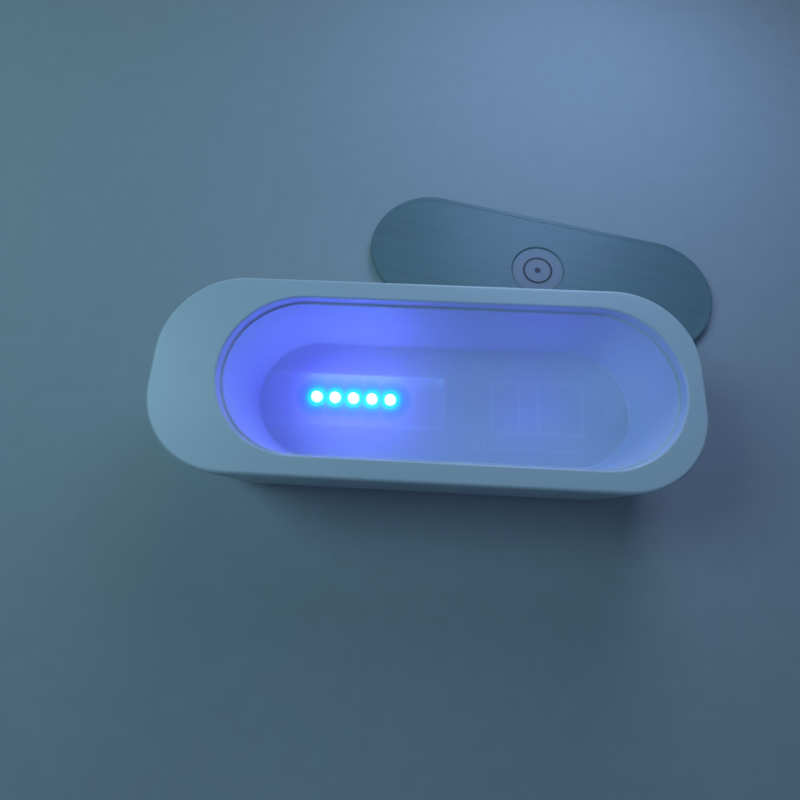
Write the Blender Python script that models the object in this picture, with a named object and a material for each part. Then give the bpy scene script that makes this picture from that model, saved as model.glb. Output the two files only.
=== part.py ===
"""Toothbrush sanitizer: a white tank with five ultraviolet LEDs in its floor and a loose grey lid.

The housing is one moulding: a skirt, a rim and a long tank with a rebate for the lid. A cover closes it from
below. The LED board and the cell lie between the tank floor and the cover, and the control board stands in the
left shoulder behind the charging socket and the power button. The lid lies on the table behind the housing.

All lengths below are millimetres. X runs along the housing to the right, Y to the back and Z up, and the
table is at height 0. Points of the housing are measured from the centre of the tank.
"""

import math

import bmesh
import bpy
from mathutils import Matrix, Vector

MM = 0.001

# Clearances
FIT_GAP = 0.3
TRIM_GAP = 0.15

# Housing: outer shell
BODY_LEFT = 130.8
BODY_RIGHT = 109.2
BODY_HALF_WIDTH = 45.4
LEFT_CORNER_RADIUS = 37.6
RIGHT_CORNER_RADIUS = 35.8
BODY_TOP = 56.0
SKIRT_BOTTOM = 4.0
SKIRT_TAPER = 0.8
OUTER_EDGE_RADIUS = 1.5
SHELL_WALL = 2.2

# Housing: tank
OPENING_HALF_LENGTH = 101.0
OPENING_HALF_WIDTH = 36.1
OPENING_EDGE_RADIUS = 1.0
LEDGE_DEPTH = 4.8
LEDGE_WIDTH = 1.2
TANK_DEPTH = 41.5
TANK_TAPER = 3.8
TANK_WALL = 2.0
FLOOR_TOP = BODY_TOP - TANK_DEPTH
FLOOR_BOTTOM = FLOOR_TOP - TANK_WALL
LEDGE_HEIGHT = BODY_TOP - LEDGE_DEPTH

# Housing: finger notch in the front of the skirt
NOTCH_CENTRE_X = -25.0
NOTCH_WIDTH = 19.0
NOTCH_HEIGHT = 1.8

# Cover and its screws
COVER_BOTTOM = 4.6
COVER_THICKNESS = 2.2
COVER_TOP = COVER_BOTTOM + COVER_THICKNESS
BOSS_POINTS = ((-110.0, 0.0), (19.2, 21.2), (19.2, -21.2), (87.8, 0.0))
BOSS_RADIUS = 3.5
BOSS_BOTTOM = COVER_TOP + FIT_GAP
PILOT_RADIUS = 1.3
PILOT_TOP = 11.9
SCREW_RADIUS = 1.0
SCREW_HEAD_RADIUS = 2.5
SCREW_HEAD_HEIGHT = 1.5
COUNTERBORE_RADIUS = 3.0
COUNTERBORE_DEPTH = 1.2

# Feet
FOOT_RADIUS = 6.0
FOOT_RECESS = 1.0
FOOT_LEFT_X = -103.0
FOOT_RIGHT_X = 81.0
FOOT_Y = 29.0

# LEDs and their board
LED_PITCH = 9.6
LED_COUNT = 5
LED_MIDDLE_X = -46.0
LED_Y = 0.8
LED_RADIUS = 2.5
LED_HEIGHT = 8.6
LED_FLANGE_RADIUS = 2.9
LED_FLANGE_HEIGHT = 1.0
LED_HOLE_RADIUS = 2.8
LED_BOARD_LEFT = -93.0
LED_BOARD_RIGHT = -1.0
LED_BOARD_HALF_WIDTH = 12.0
LED_BOARD_BOTTOM = 8.4
BOARD_THICKNESS = 1.6
LED_BOARD_TOP = LED_BOARD_BOTTOM + BOARD_THICKNESS
LED_PLUG_LEFT = LED_BOARD_LEFT + 1.0
LED_PLUG_Y = -8.0
LED_PLUG_HEIGHT = 1.7
RESISTOR_OFFSET = 6.4

# Ribs below the tank floor
RIB_THICKNESS = 1.2
RIB_TOP = FLOOR_BOTTOM + 0.5
BAY_LEFT = -95.7
BAY_RIGHT = 1.3
BAY_HALF_WIDTH = 14.0
CELL_BAY_LEFT = 24.9
CELL_BAY_RIGHT = 72.8
CELL_BAY_HALF_WIDTH = 13.9
CELL_DOOR_LOW = 7.6
CELL_DOOR_HIGH = 12.4
CROSS_RIB_POINTS = (39.4, 49.2)
CROSS_RIB_HEIGHT = 0.5
LONG_RIB_Y = -22.0
LONG_RIB_LEFT = 24.0
LONG_RIB_RIGHT = 80.0

# Cell
CELL_LENGTH = 44.6
CELL_WIDTH = 24.4
CELL_THICKNESS = 3.4
PAD_LENGTH = 38.0
PAD_WIDTH = 20.0
PAD_THICKNESS = 0.6

# Control board in the left shoulder, upright behind the end wall
CONTROL_BOARD_X = -122.6
CONTROL_BOARD_HALF_WIDTH = 17.0
CONTROL_BOARD_BOTTOM = 8.0
CONTROL_BOARD_TOP = 48.0
CONTROL_SCREW_Y = 13.5
CONTROL_SCREW_Z = 43.0
CONTROL_BOSS_RADIUS = 2.6
CONTROL_PILOT_RADIUS = 1.15
CONTROL_SCREW_RADIUS = 0.85
CONTROL_SCREW_HEAD_RADIUS = 1.9
CONTROL_SCREW_HEAD_HEIGHT = 1.2
CONTROL_SCREW_LENGTH = 5.8
INNER_SIDE_X = CONTROL_BOARD_X + BOARD_THICKNESS + FIT_GAP
OUTER_SIDE_X = CONTROL_BOARD_X - FIT_GAP

# Charging socket
SOCKET_HEIGHT = 15.0
SOCKET_HALF_WIDTH = 4.47
SOCKET_HALF_THICKNESS = 1.63
SOCKET_MOUTH_X = -130.0
SOCKET_WALL = 0.35
TONGUE_HALF_WIDTH = 3.35
TONGUE_HALF_THICKNESS = 0.35

# Power button
BUTTON_HEIGHT = 34.0
BUTTON_RADIUS = 4.5
BUTTON_FACE_X = -131.6
BUTTON_FLANGE_RADIUS = 6.0
BUTTON_FLANGE_X = -127.9
BUTTON_FLANGE_THICKNESS = 0.8
BUTTON_HOLE_GAP = 0.4
SWITCH_HALF_SIZE = 3.0
SWITCH_DEPTH = 3.0
PLUNGER_RADIUS = 1.7
PLUNGER_LENGTH = 0.6

# Internal leads
LEAD_RADIUS = 0.55
LEAD_PITCH = 1.6

# Lid, lying on the table behind the housing
LID_GAP = 0.5
LID_HEIGHT = 4.6
LID_PLATE = 2.0
LID_WALL = 1.6
LID_BEVEL = 0.8
LID_OFFSET = Vector((54.5, 86.8))
LID_TURN = math.radians(-11.8)
DISH_RADIUS = 15.5
DISH_DEPTH = 0.8
BADGE_OUTER_RADIUS = 8.6
BADGE_INNER_RADIUS = 7.4
BADGE_THICKNESS = 0.4

# Facets
CORNER_STEPS = 12
ROUND_STEPS = 32
SMALL_ROUND_STEPS = 20
EDGE_STEPS = 3
PAST_FACE = 3.0


# Materials

def make_material(name, colour, roughness, metallic=0.0, glow=None):
    """A Principled material; glow is the colour that it shines with."""
    material = bpy.data.materials.new(name)
    material.use_nodes = True
    shader = material.node_tree.nodes["Principled BSDF"]
    shader.inputs["Base Color"].default_value = (*colour, 1.0)
    shader.inputs["Roughness"].default_value = roughness
    shader.inputs["Metallic"].default_value = metallic
    if glow:
        shader.inputs["Emission Color"].default_value = (*glow, 1.0)
        shader.inputs["Emission Strength"].default_value = 4.0
    return material


# Outlines and solids

def rounded_outline(left, right, half_width, left_radius, right_radius, steps=CORNER_STEPS):
    """Points, counter-clockwise, of a rectangle with one corner radius at each end."""
    corners = (
        (right - right_radius, half_width - right_radius, right_radius, 0.0),
        (left + left_radius, half_width - left_radius, left_radius, 0.5 * math.pi),
        (left + left_radius, left_radius - half_width, left_radius, math.pi),
        (right - right_radius, right_radius - half_width, right_radius, 1.5 * math.pi),
    )
    points = []
    for centre_x, centre_y, radius, start in corners:
        for step in range(steps + 1):
            angle = start + 0.5 * math.pi * step / steps
            point = (centre_x + radius * math.cos(angle), centre_y + radius * math.sin(angle))
            if not points or math.dist(point, points[-1]) > 1e-6:
                points.append(point)
    if math.dist(points[0], points[-1]) < 1e-6:
        points.pop()
    return points


def body_outline(inset):
    """Outer outline of the housing, moved inwards by inset."""
    return rounded_outline(
        inset - BODY_LEFT,
        BODY_RIGHT - inset,
        BODY_HALF_WIDTH - inset,
        LEFT_CORNER_RADIUS - inset,
        RIGHT_CORNER_RADIUS - inset,
    )


def skirt_inset(height):
    """How far the slanted skirt has moved inwards at a height."""
    return SKIRT_TAPER * (BODY_TOP - height) / (BODY_TOP - SKIRT_BOTTOM)


def obround(inset, half_length=OPENING_HALF_LENGTH, half_width=OPENING_HALF_WIDTH, steps=CORNER_STEPS):
    """Outline with two semicircular ends, moved inwards by inset from the tank opening."""
    radius = half_width - inset
    return rounded_outline(inset - half_length, half_length - inset, radius, radius, radius, steps)


def circle(radius, steps=ROUND_STEPS):
    """Points of a circle, counter-clockwise."""
    return [
        (radius * math.cos(2.0 * math.pi * step / steps), radius * math.sin(2.0 * math.pi * step / steps))
        for step in range(steps)
    ]


def add_loft(mesh, rings):
    """Add a closed solid through rings of (outline, height), from the bottom up."""
    loops = [[mesh.verts.new((x * MM, y * MM, z * MM)) for x, y in outline] for outline, z in rings]
    count = len(loops[0])
    mesh.faces.new(list(reversed(loops[0])))
    mesh.faces.new(loops[-1])
    for lower, upper in zip(loops, loops[1:]):
        for index in range(count):
            following = (index + 1) % count
            mesh.faces.new((lower[index], lower[following], upper[following], upper[index]))
    return [vertex for loop in loops for vertex in loop]


def add_prism(mesh, outline, bottom, top):
    """Add an upright prism on an outline."""
    return add_loft(mesh, [(outline, bottom), (outline, top)])


def add_box(mesh, low, high):
    """Add a box between two corners."""
    outline = [(low[0], low[1]), (high[0], low[1]), (high[0], high[1]), (low[0], high[1])]
    return add_prism(mesh, outline, low[2], high[2])


def add_rod(mesh, point, radius, bottom, top, steps=SMALL_ROUND_STEPS):
    """Add an upright cylinder at a point."""
    outline = [(point[0] + x, point[1] + y) for x, y in circle(radius, steps)]
    return add_prism(mesh, outline, bottom, top)


def lay_along_x(mesh, vertices, start_x, y, z):
    """Turn vertices built upwards from height 0 so that they run along +X from (start_x, y, z)."""
    turn = Matrix.Rotation(math.radians(90.0), 4, "Y")
    move = Matrix.Translation((start_x * MM, y * MM, z * MM))
    bmesh.ops.transform(mesh, matrix=move @ turn, verts=vertices)


def add_cross_rod(mesh, start_x, end_x, y, z, radius, steps=SMALL_ROUND_STEPS):
    """Add a cylinder that lies along X."""
    rod = add_rod(mesh, (0.0, 0.0), radius, 0.0, end_x - start_x, steps)
    lay_along_x(mesh, rod, start_x, y, z)


def mesh_data(mesh, name, material):
    """Turn a bmesh into mesh data with outward faces and sharp edges."""
    bmesh.ops.recalc_face_normals(mesh, faces=mesh.faces)
    data = bpy.data.meshes.new(name)
    mesh.to_mesh(data)
    mesh.free()
    data.materials.append(material)
    data.shade_smooth()
    data.set_sharp_from_angle(angle=math.radians(30.0))
    return data


def finish(mesh, name, material, parent=None):
    """Turn a bmesh into an object in its parent's frame."""
    return place(mesh_data(mesh, name, material), name, parent)


def place(data, name, parent, location=(0.0, 0.0, 0.0)):
    """Link an object that shows data, in its parent's frame."""
    thing = bpy.data.objects.new(name, data)
    thing.location = Vector(location) * MM
    thing.parent = parent
    bpy.context.scene.collection.objects.link(thing)
    return thing


def combine(target, tool, operation):
    """Join a tool to a target or cut it away, and hide the tool."""
    modifier = target.modifiers.new(tool.name, "BOOLEAN")
    modifier.object = tool
    modifier.operation = operation
    modifier.solver = "EXACT"
    tool.hide_render = True
    tool.display_type = "WIRE"


# Housing

def edge_rings(radius, top, outline, sign):
    """Rings of a round edge that ends at the height top; sign is 1 for an outer edge and -1 for a mouth."""
    rings = []
    for step in range(EDGE_STEPS + 1):
        angle = 0.5 * math.pi * step / EDGE_STEPS
        inset = sign * radius * (1.0 - math.cos(angle))
        rings.append((outline(inset), top - radius + radius * math.sin(angle)))
    return rings


def shell_block(plastic, frame):
    """The outer shape of the housing as a full block."""
    mesh = bmesh.new()
    rings = [(body_outline(SKIRT_TAPER), SKIRT_BOTTOM)]
    rings += edge_rings(OUTER_EDGE_RADIUS, BODY_TOP, body_outline, 1.0)
    add_loft(mesh, rings)
    return finish(mesh, "housing", plastic, frame)


def shell_hollow(plastic, frame):
    """The space inside the skirt, open at the bottom."""
    mesh = bmesh.new()
    top = BODY_TOP - SHELL_WALL
    bottom = SKIRT_BOTTOM - PAST_FACE
    lower = body_outline(skirt_inset(bottom) + SHELL_WALL)
    upper = body_outline(skirt_inset(top) + SHELL_WALL)
    add_loft(mesh, [(lower, bottom), (upper, top)])
    return finish(mesh, "shell_hollow", plastic, frame)


def tank_block(plastic, frame):
    """The outer shape of the tank, with a thicker collar around the lid's rebate."""
    mesh = bmesh.new()
    collar_bottom = LEDGE_HEIGHT - TANK_WALL
    rings = [
        (obround(LEDGE_WIDTH + TANK_TAPER - TANK_WALL), FLOOR_BOTTOM),
        (obround(LEDGE_WIDTH - TANK_WALL), collar_bottom - LEDGE_WIDTH),
        (obround(-TANK_WALL), collar_bottom),
        (obround(-TANK_WALL), BODY_TOP - 0.5 * SHELL_WALL),
    ]
    add_loft(mesh, rings)
    return finish(mesh, "tank_block", plastic, frame)


def tank_hollow(plastic, frame):
    """The inside of the tank: floor, slanted wall, ledge and rebate with its round edge."""
    mesh = bmesh.new()
    rings = [
        (obround(LEDGE_WIDTH + TANK_TAPER), FLOOR_TOP),
        (obround(LEDGE_WIDTH), LEDGE_HEIGHT),
        (obround(0.0), LEDGE_HEIGHT),
    ]
    rings += edge_rings(OPENING_EDGE_RADIUS, BODY_TOP, obround, -1.0)
    rings.append((obround(-OPENING_EDGE_RADIUS), BODY_TOP + PAST_FACE))
    add_loft(mesh, rings)
    return finish(mesh, "tank_hollow", plastic, frame)


def screw_bosses(plastic, frame):
    """Four bosses for the cover's screws and two on the end wall for the control board."""
    mesh = bmesh.new()
    for point in BOSS_POINTS:
        below_tank = point[0] > -OPENING_HALF_LENGTH
        top = RIB_TOP if below_tank else BODY_TOP - 0.5 * SHELL_WALL
        add_rod(mesh, point, BOSS_RADIUS, BOSS_BOTTOM, top)
    for y in (-CONTROL_SCREW_Y, CONTROL_SCREW_Y):
        wall_x = 0.5 * SHELL_WALL - BODY_LEFT + 1.0
        add_cross_rod(mesh, wall_x, OUTER_SIDE_X, y, CONTROL_SCREW_Z, CONTROL_BOSS_RADIUS)
    return finish(mesh, "screw_bosses", plastic, frame)


def floor_ribs(plastic, frame):
    """The LED bay, open at its left end, the cell bay with a door for the leads, and the plain ribs."""
    mesh = bmesh.new()
    inner_width = BAY_HALF_WIDTH - RIB_THICKNESS
    led_bay = [
        (BAY_LEFT, -BAY_HALF_WIDTH),
        (BAY_RIGHT, -BAY_HALF_WIDTH),
        (BAY_RIGHT, BAY_HALF_WIDTH),
        (BAY_LEFT, BAY_HALF_WIDTH),
        (BAY_LEFT, inner_width),
        (BAY_RIGHT - RIB_THICKNESS, inner_width),
        (BAY_RIGHT - RIB_THICKNESS, -inner_width),
        (BAY_LEFT, -inner_width),
    ]
    add_prism(mesh, led_bay, BOSS_BOTTOM, RIB_TOP)
    inner_left = CELL_BAY_LEFT + RIB_THICKNESS
    inner_right = CELL_BAY_RIGHT - RIB_THICKNESS
    inner_width = CELL_BAY_HALF_WIDTH - RIB_THICKNESS
    cell_bay = [
        (CELL_BAY_LEFT, CELL_DOOR_LOW),
        (CELL_BAY_LEFT, -CELL_BAY_HALF_WIDTH),
        (CELL_BAY_RIGHT, -CELL_BAY_HALF_WIDTH),
        (CELL_BAY_RIGHT, CELL_BAY_HALF_WIDTH),
        (CELL_BAY_LEFT, CELL_BAY_HALF_WIDTH),
        (CELL_BAY_LEFT, CELL_DOOR_HIGH),
        (inner_left, CELL_DOOR_HIGH),
        (inner_left, inner_width),
        (inner_right, inner_width),
        (inner_right, -inner_width),
        (inner_left, -inner_width),
        (inner_left, CELL_DOOR_LOW),
    ]
    add_prism(mesh, cell_bay, BOSS_BOTTOM, RIB_TOP)
    for x in CROSS_RIB_POINTS:
        low = (x - 0.5 * RIB_THICKNESS, FIT_GAP - inner_width, FLOOR_BOTTOM - CROSS_RIB_HEIGHT)
        high = (x + 0.5 * RIB_THICKNESS, inner_width - FIT_GAP, RIB_TOP)
        add_box(mesh, low, high)
    low = (LONG_RIB_LEFT, LONG_RIB_Y - 0.5 * RIB_THICKNESS, BOSS_BOTTOM)
    high = (LONG_RIB_RIGHT, LONG_RIB_Y + 0.5 * RIB_THICKNESS, RIB_TOP)
    add_box(mesh, low, high)
    return finish(mesh, "floor_ribs", plastic, frame)


def led_points():
    """Centres of the LEDs, from left to right."""
    first = LED_MIDDLE_X - 0.5 * LED_PITCH * (LED_COUNT - 1)
    return [(first + LED_PITCH * index, LED_Y) for index in range(LED_COUNT)]


def housing_holes(plastic, frame):
    """LED holes, pilot holes, the socket's slot, the button's hole and the notch in the skirt."""
    mesh = bmesh.new()
    for point in led_points():
        add_rod(mesh, point, LED_HOLE_RADIUS, FLOOR_BOTTOM - PAST_FACE, FLOOR_TOP + PAST_FACE)
    for point in BOSS_POINTS:
        add_rod(mesh, point, PILOT_RADIUS, BOSS_BOTTOM - PAST_FACE, PILOT_TOP, 12)
    for y in (-CONTROL_SCREW_Y, CONTROL_SCREW_Y):
        start_x = OUTER_SIDE_X - 5.0
        add_cross_rod(mesh, start_x, OUTER_SIDE_X + PAST_FACE, y, CONTROL_SCREW_Z, CONTROL_PILOT_RADIUS, 12)
    slot_depth = 2.0 * PAST_FACE
    slot = obround(-FIT_GAP, SOCKET_HALF_WIDTH, SOCKET_HALF_THICKNESS, 5)
    slot = add_prism(mesh, [(-z, y) for y, z in slot], 0.0, slot_depth)
    lay_along_x(mesh, slot, -BODY_LEFT - PAST_FACE, 0.0, SOCKET_HEIGHT)
    hole_radius = BUTTON_RADIUS + BUTTON_HOLE_GAP
    start_x = -BODY_LEFT - PAST_FACE
    add_cross_rod(mesh, start_x, start_x + slot_depth, 0.0, BUTTON_HEIGHT, hole_radius, ROUND_STEPS)
    low = (NOTCH_CENTRE_X - 0.5 * NOTCH_WIDTH, -BODY_HALF_WIDTH - PAST_FACE, SKIRT_BOTTOM - PAST_FACE)
    high = (NOTCH_CENTRE_X + 0.5 * NOTCH_WIDTH, PAST_FACE - BODY_HALF_WIDTH + 1.0, SKIRT_BOTTOM + NOTCH_HEIGHT)
    add_box(mesh, low, high)
    return finish(mesh, "housing_holes", plastic, frame)


def make_housing(plastic, frame):
    """The one-piece moulding."""
    housing = shell_block(plastic, frame)
    combine(housing, shell_hollow(plastic, frame), "DIFFERENCE")
    combine(housing, tank_block(plastic, frame), "UNION")
    combine(housing, screw_bosses(plastic, frame), "UNION")
    combine(housing, floor_ribs(plastic, frame), "UNION")
    combine(housing, tank_hollow(plastic, frame), "DIFFERENCE")
    combine(housing, housing_holes(plastic, frame), "DIFFERENCE")


# Cover, feet and screws

def foot_points():
    """Name and centre of each foot."""
    return [
        ("foot_front_left", FOOT_LEFT_X, -FOOT_Y),
        ("foot_front_right", FOOT_RIGHT_X, -FOOT_Y),
        ("foot_rear_left", FOOT_LEFT_X, FOOT_Y),
        ("foot_rear_right", FOOT_RIGHT_X, FOOT_Y),
    ]


def cover_posts(plastic, frame):
    """Posts that hold up the LED board and guides that hold the foot of the control board."""
    mesh = bmesh.new()
    inside = COVER_TOP - 0.5
    for x in (LED_BOARD_LEFT + 4.0, LED_BOARD_RIGHT - 4.0):
        for y in (4.0 - LED_BOARD_HALF_WIDTH, LED_BOARD_HALF_WIDTH - 4.0):
            add_rod(mesh, (x, y), 1.5, inside, LED_BOARD_BOTTOM - FIT_GAP)
    guide_top = CONTROL_BOARD_BOTTOM + 3.0
    for y in (-CONTROL_SCREW_Y, CONTROL_SCREW_Y):
        add_box(mesh, (OUTER_SIDE_X - 1.5, y - 2.0, inside), (OUTER_SIDE_X, y + 2.0, guide_top))
        add_box(mesh, (INNER_SIDE_X, y - 2.0, inside), (INNER_SIDE_X + 1.5, y + 2.0, guide_top))
    return finish(mesh, "cover_posts", plastic, frame)


def cover_holes(plastic, frame):
    """Screw holes with counterbores, and shallow recesses for the feet."""
    mesh = bmesh.new()
    step = COVER_BOTTOM + COUNTERBORE_DEPTH
    below = COVER_BOTTOM - PAST_FACE
    for point in BOSS_POINTS:
        wide = [(point[0] + x, point[1] + y) for x, y in circle(COUNTERBORE_RADIUS, SMALL_ROUND_STEPS)]
        narrow_circle = circle(SCREW_RADIUS + FIT_GAP, SMALL_ROUND_STEPS)
        narrow = [(point[0] + x, point[1] + y) for x, y in narrow_circle]
        add_loft(mesh, [(wide, below), (wide, step), (narrow, step), (narrow, COVER_TOP + PAST_FACE)])
    for _, x, y in foot_points():
        add_rod(mesh, (x, y), FOOT_RADIUS + FIT_GAP, below, COVER_BOTTOM + FOOT_RECESS, ROUND_STEPS)
    return finish(mesh, "cover_holes", plastic, frame)


def make_cover(plastic, frame):
    """The plate that closes the skirt from below."""
    mesh = bmesh.new()
    outline = body_outline(SKIRT_TAPER + SHELL_WALL + FIT_GAP)
    add_prism(mesh, outline, COVER_BOTTOM, COVER_TOP)
    cover = finish(mesh, "base_cover", plastic, frame)
    combine(cover, cover_posts(plastic, frame), "UNION")
    combine(cover, cover_holes(plastic, frame), "DIFFERENCE")


def make_feet(rubber, frame):
    """Four round feet that stand in the cover's recesses."""
    mesh = bmesh.new()
    top = COVER_BOTTOM + FOOT_RECESS - FIT_GAP
    rings = [
        (circle(FOOT_RADIUS - 0.6), 0.0),
        (circle(FOOT_RADIUS), 0.6),
        (circle(FOOT_RADIUS), top),
    ]
    add_loft(mesh, rings)
    data = mesh_data(mesh, "foot", rubber)
    for name, x, y in foot_points():
        place(data, name, frame, (x, y, 0.0))


def make_screw(name, head_radius, head_height, radius, length, steel, frame):
    """A screw that stands on its head at the origin, with a cross recess in the head's underside."""
    head_edge = 0.15 * head_height
    rings = [
        (circle(head_radius - head_edge, SMALL_ROUND_STEPS), 0.0),
        (circle(head_radius, SMALL_ROUND_STEPS), head_edge),
        (circle(head_radius, SMALL_ROUND_STEPS), head_height),
        (circle(radius, SMALL_ROUND_STEPS), head_height),
        (circle(radius, SMALL_ROUND_STEPS), head_height + length - radius),
        (circle(0.4 * radius, SMALL_ROUND_STEPS), head_height + length),
    ]
    mesh = bmesh.new()
    add_loft(mesh, rings)
    screw = finish(mesh, name, steel, frame)
    arm = 0.16 * head_radius
    reach = 0.56 * head_radius
    cross = [
        (arm, -reach), (arm, -arm), (reach, -arm), (reach, arm), (arm, arm), (arm, reach),
        (-arm, reach), (-arm, arm), (-reach, arm), (-reach, -arm), (-arm, -arm), (-arm, -reach),
    ]
    mesh = bmesh.new()
    add_prism(mesh, cross, -PAST_FACE, 0.5 * head_height)
    combine(screw, finish(mesh, f"{name}_recess", steel, screw), "DIFFERENCE")
    return screw


def make_base_screws(steel, frame):
    """Four screws that hold the cover."""
    head_bottom = COVER_BOTTOM + COUNTERBORE_DEPTH - FIT_GAP - SCREW_HEAD_HEIGHT
    length = PILOT_TOP - FIT_GAP - head_bottom - SCREW_HEAD_HEIGHT
    for index, (x, y) in enumerate(BOSS_POINTS):
        name = f"base_screw_{index + 1}"
        screw = make_screw(name, SCREW_HEAD_RADIUS, SCREW_HEAD_HEIGHT, SCREW_RADIUS, length, steel, frame)
        screw.location = Vector((x, y, head_bottom)) * MM


# LEDs and their board

def make_leds(lens, frame):
    """Five round LEDs, standing on their board and reaching up through the tank floor."""
    mesh = bmesh.new()
    dome_base = LED_HEIGHT - LED_RADIUS
    rings = [
        (circle(LED_FLANGE_RADIUS, SMALL_ROUND_STEPS), 0.0),
        (circle(LED_FLANGE_RADIUS, SMALL_ROUND_STEPS), LED_FLANGE_HEIGHT),
        (circle(LED_RADIUS, SMALL_ROUND_STEPS), LED_FLANGE_HEIGHT),
    ]
    dome_steps = 5
    for step in range(dome_steps):
        angle = 0.5 * math.pi * step / dome_steps
        radius = LED_RADIUS * math.cos(angle)
        rings.append((circle(radius, SMALL_ROUND_STEPS), dome_base + LED_RADIUS * math.sin(angle)))
    rings.append((circle(0.1 * LED_RADIUS, SMALL_ROUND_STEPS), LED_HEIGHT))
    add_loft(mesh, rings)
    data = mesh_data(mesh, "uv_led", lens)
    for index, (x, y) in enumerate(led_points()):
        place(data, f"uv_led_{index + 1}", frame, (x, y, LED_BOARD_TOP + FIT_GAP))


def make_led_board(laminate, frame):
    """The long board under the LEDs, with clipped corners."""
    mesh = bmesh.new()
    width = LED_BOARD_HALF_WIDTH
    outline = rounded_outline(LED_BOARD_LEFT, LED_BOARD_RIGHT, width, 1.5, 1.5, 2)
    add_prism(mesh, outline, LED_BOARD_BOTTOM, LED_BOARD_TOP)
    finish(mesh, "led_board", laminate, frame)


def make_led_resistors(ceramic, frame):
    """One chip resistor in front of each LED."""
    height = LED_BOARD_TOP + FIT_GAP
    mesh = bmesh.new()
    add_box(mesh, (-1.0, -0.6, 0.0), (1.0, 0.6, 0.5))
    data = mesh_data(mesh, "led_resistor", ceramic)
    for index, (x, y) in enumerate(led_points()):
        place(data, f"led_resistor_{index + 1}", frame, (x, y - RESISTOR_OFFSET, height))


def make_led_connector(nylon, frame):
    """The flat connector at the left end of the LED board."""
    mesh = bmesh.new()
    bottom = LED_BOARD_TOP + FIT_GAP
    low = (LED_PLUG_LEFT, LED_PLUG_Y - 2.4, bottom)
    high = (LED_PLUG_LEFT + 4.0, LED_PLUG_Y + 2.4, bottom + LED_PLUG_HEIGHT)
    add_box(mesh, low, high)
    finish(mesh, "led_connector", nylon, frame)


# Control board

def make_control_board(laminate, frame):
    """The upright board, with a hole for each of its two screws."""
    mesh = bmesh.new()
    low = (CONTROL_BOARD_X, -CONTROL_BOARD_HALF_WIDTH, CONTROL_BOARD_BOTTOM)
    high = (CONTROL_BOARD_X + BOARD_THICKNESS, CONTROL_BOARD_HALF_WIDTH, CONTROL_BOARD_TOP)
    add_box(mesh, low, high)
    board = finish(mesh, "control_board", laminate, frame)
    mesh = bmesh.new()
    radius = CONTROL_SCREW_RADIUS + FIT_GAP
    start_x = CONTROL_BOARD_X - PAST_FACE
    end_x = CONTROL_BOARD_X + BOARD_THICKNESS + PAST_FACE
    for y in (-CONTROL_SCREW_Y, CONTROL_SCREW_Y):
        add_cross_rod(mesh, start_x, end_x, y, CONTROL_SCREW_Z, radius)
    combine(board, finish(mesh, "control_board_holes", laminate, frame), "DIFFERENCE")


def make_control_screws(steel, frame):
    """Two screws that hold the control board to the end wall."""
    for index, y in enumerate((-CONTROL_SCREW_Y, CONTROL_SCREW_Y)):
        screw = make_screw(
            f"control_screw_{index + 1}",
            CONTROL_SCREW_HEAD_RADIUS,
            CONTROL_SCREW_HEAD_HEIGHT,
            CONTROL_SCREW_RADIUS,
            CONTROL_SCREW_LENGTH,
            steel,
            frame,
        )
        screw.location = Vector((INNER_SIDE_X + CONTROL_SCREW_HEAD_HEIGHT, y, CONTROL_SCREW_Z)) * MM
        screw.rotation_euler = (0.0, math.radians(-90.0), 0.0)


def make_control_parts(epoxy, ferrite, nylon, frame):
    """The chip, the inductor and the two connectors on the inner side of the control board."""
    parts = (
        ("control_chip", epoxy, (1.2, 5.0, 4.0), (0.0, 27.0)),
        ("power_inductor", ferrite, (2.4, 4.4, 4.4), (9.0, 26.0)),
        ("control_connector", nylon, (4.4, 5.6, 3.6), (-8.0, 12.6)),
        ("battery_connector", nylon, (4.4, 5.6, 3.6), (8.0, 12.6)),
    )
    for name, material, (depth, width, height), (y, z) in parts:
        mesh = bmesh.new()
        low = (INNER_SIDE_X, y - 0.5 * width, z - 0.5 * height)
        high = (INNER_SIDE_X + depth, y + 0.5 * width, z + 0.5 * height)
        add_box(mesh, low, high)
        finish(mesh, name, material, frame)


def make_socket(steel, nylon, frame):
    """The charging socket: a shell that is open to the left, and the tongue inside it."""
    mesh = bmesh.new()
    length = OUTER_SIDE_X - SOCKET_MOUTH_X
    shell = obround(0.0, SOCKET_HALF_WIDTH, SOCKET_HALF_THICKNESS, 5)
    shell = add_prism(mesh, [(-z, y) for y, z in shell], 0.0, length)
    lay_along_x(mesh, shell, SOCKET_MOUTH_X, 0.0, SOCKET_HEIGHT)
    shell = finish(mesh, "usb_shell", steel, frame)
    mesh = bmesh.new()
    mouth = obround(SOCKET_WALL, SOCKET_HALF_WIDTH, SOCKET_HALF_THICKNESS, 5)
    mouth = add_prism(mesh, [(-z, y) for y, z in mouth], -PAST_FACE, length - SOCKET_WALL)
    lay_along_x(mesh, mouth, SOCKET_MOUTH_X, 0.0, SOCKET_HEIGHT)
    combine(shell, finish(mesh, "usb_mouth", steel, frame), "DIFFERENCE")
    mesh = bmesh.new()
    tongue_start = SOCKET_MOUTH_X + 1.0
    tongue_end = OUTER_SIDE_X - SOCKET_WALL - FIT_GAP
    low = (tongue_start, -TONGUE_HALF_WIDTH, SOCKET_HEIGHT - TONGUE_HALF_THICKNESS)
    high = (tongue_end, TONGUE_HALF_WIDTH, SOCKET_HEIGHT + TONGUE_HALF_THICKNESS)
    add_box(mesh, low, high)
    finish(mesh, "usb_tongue", nylon, frame)


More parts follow.
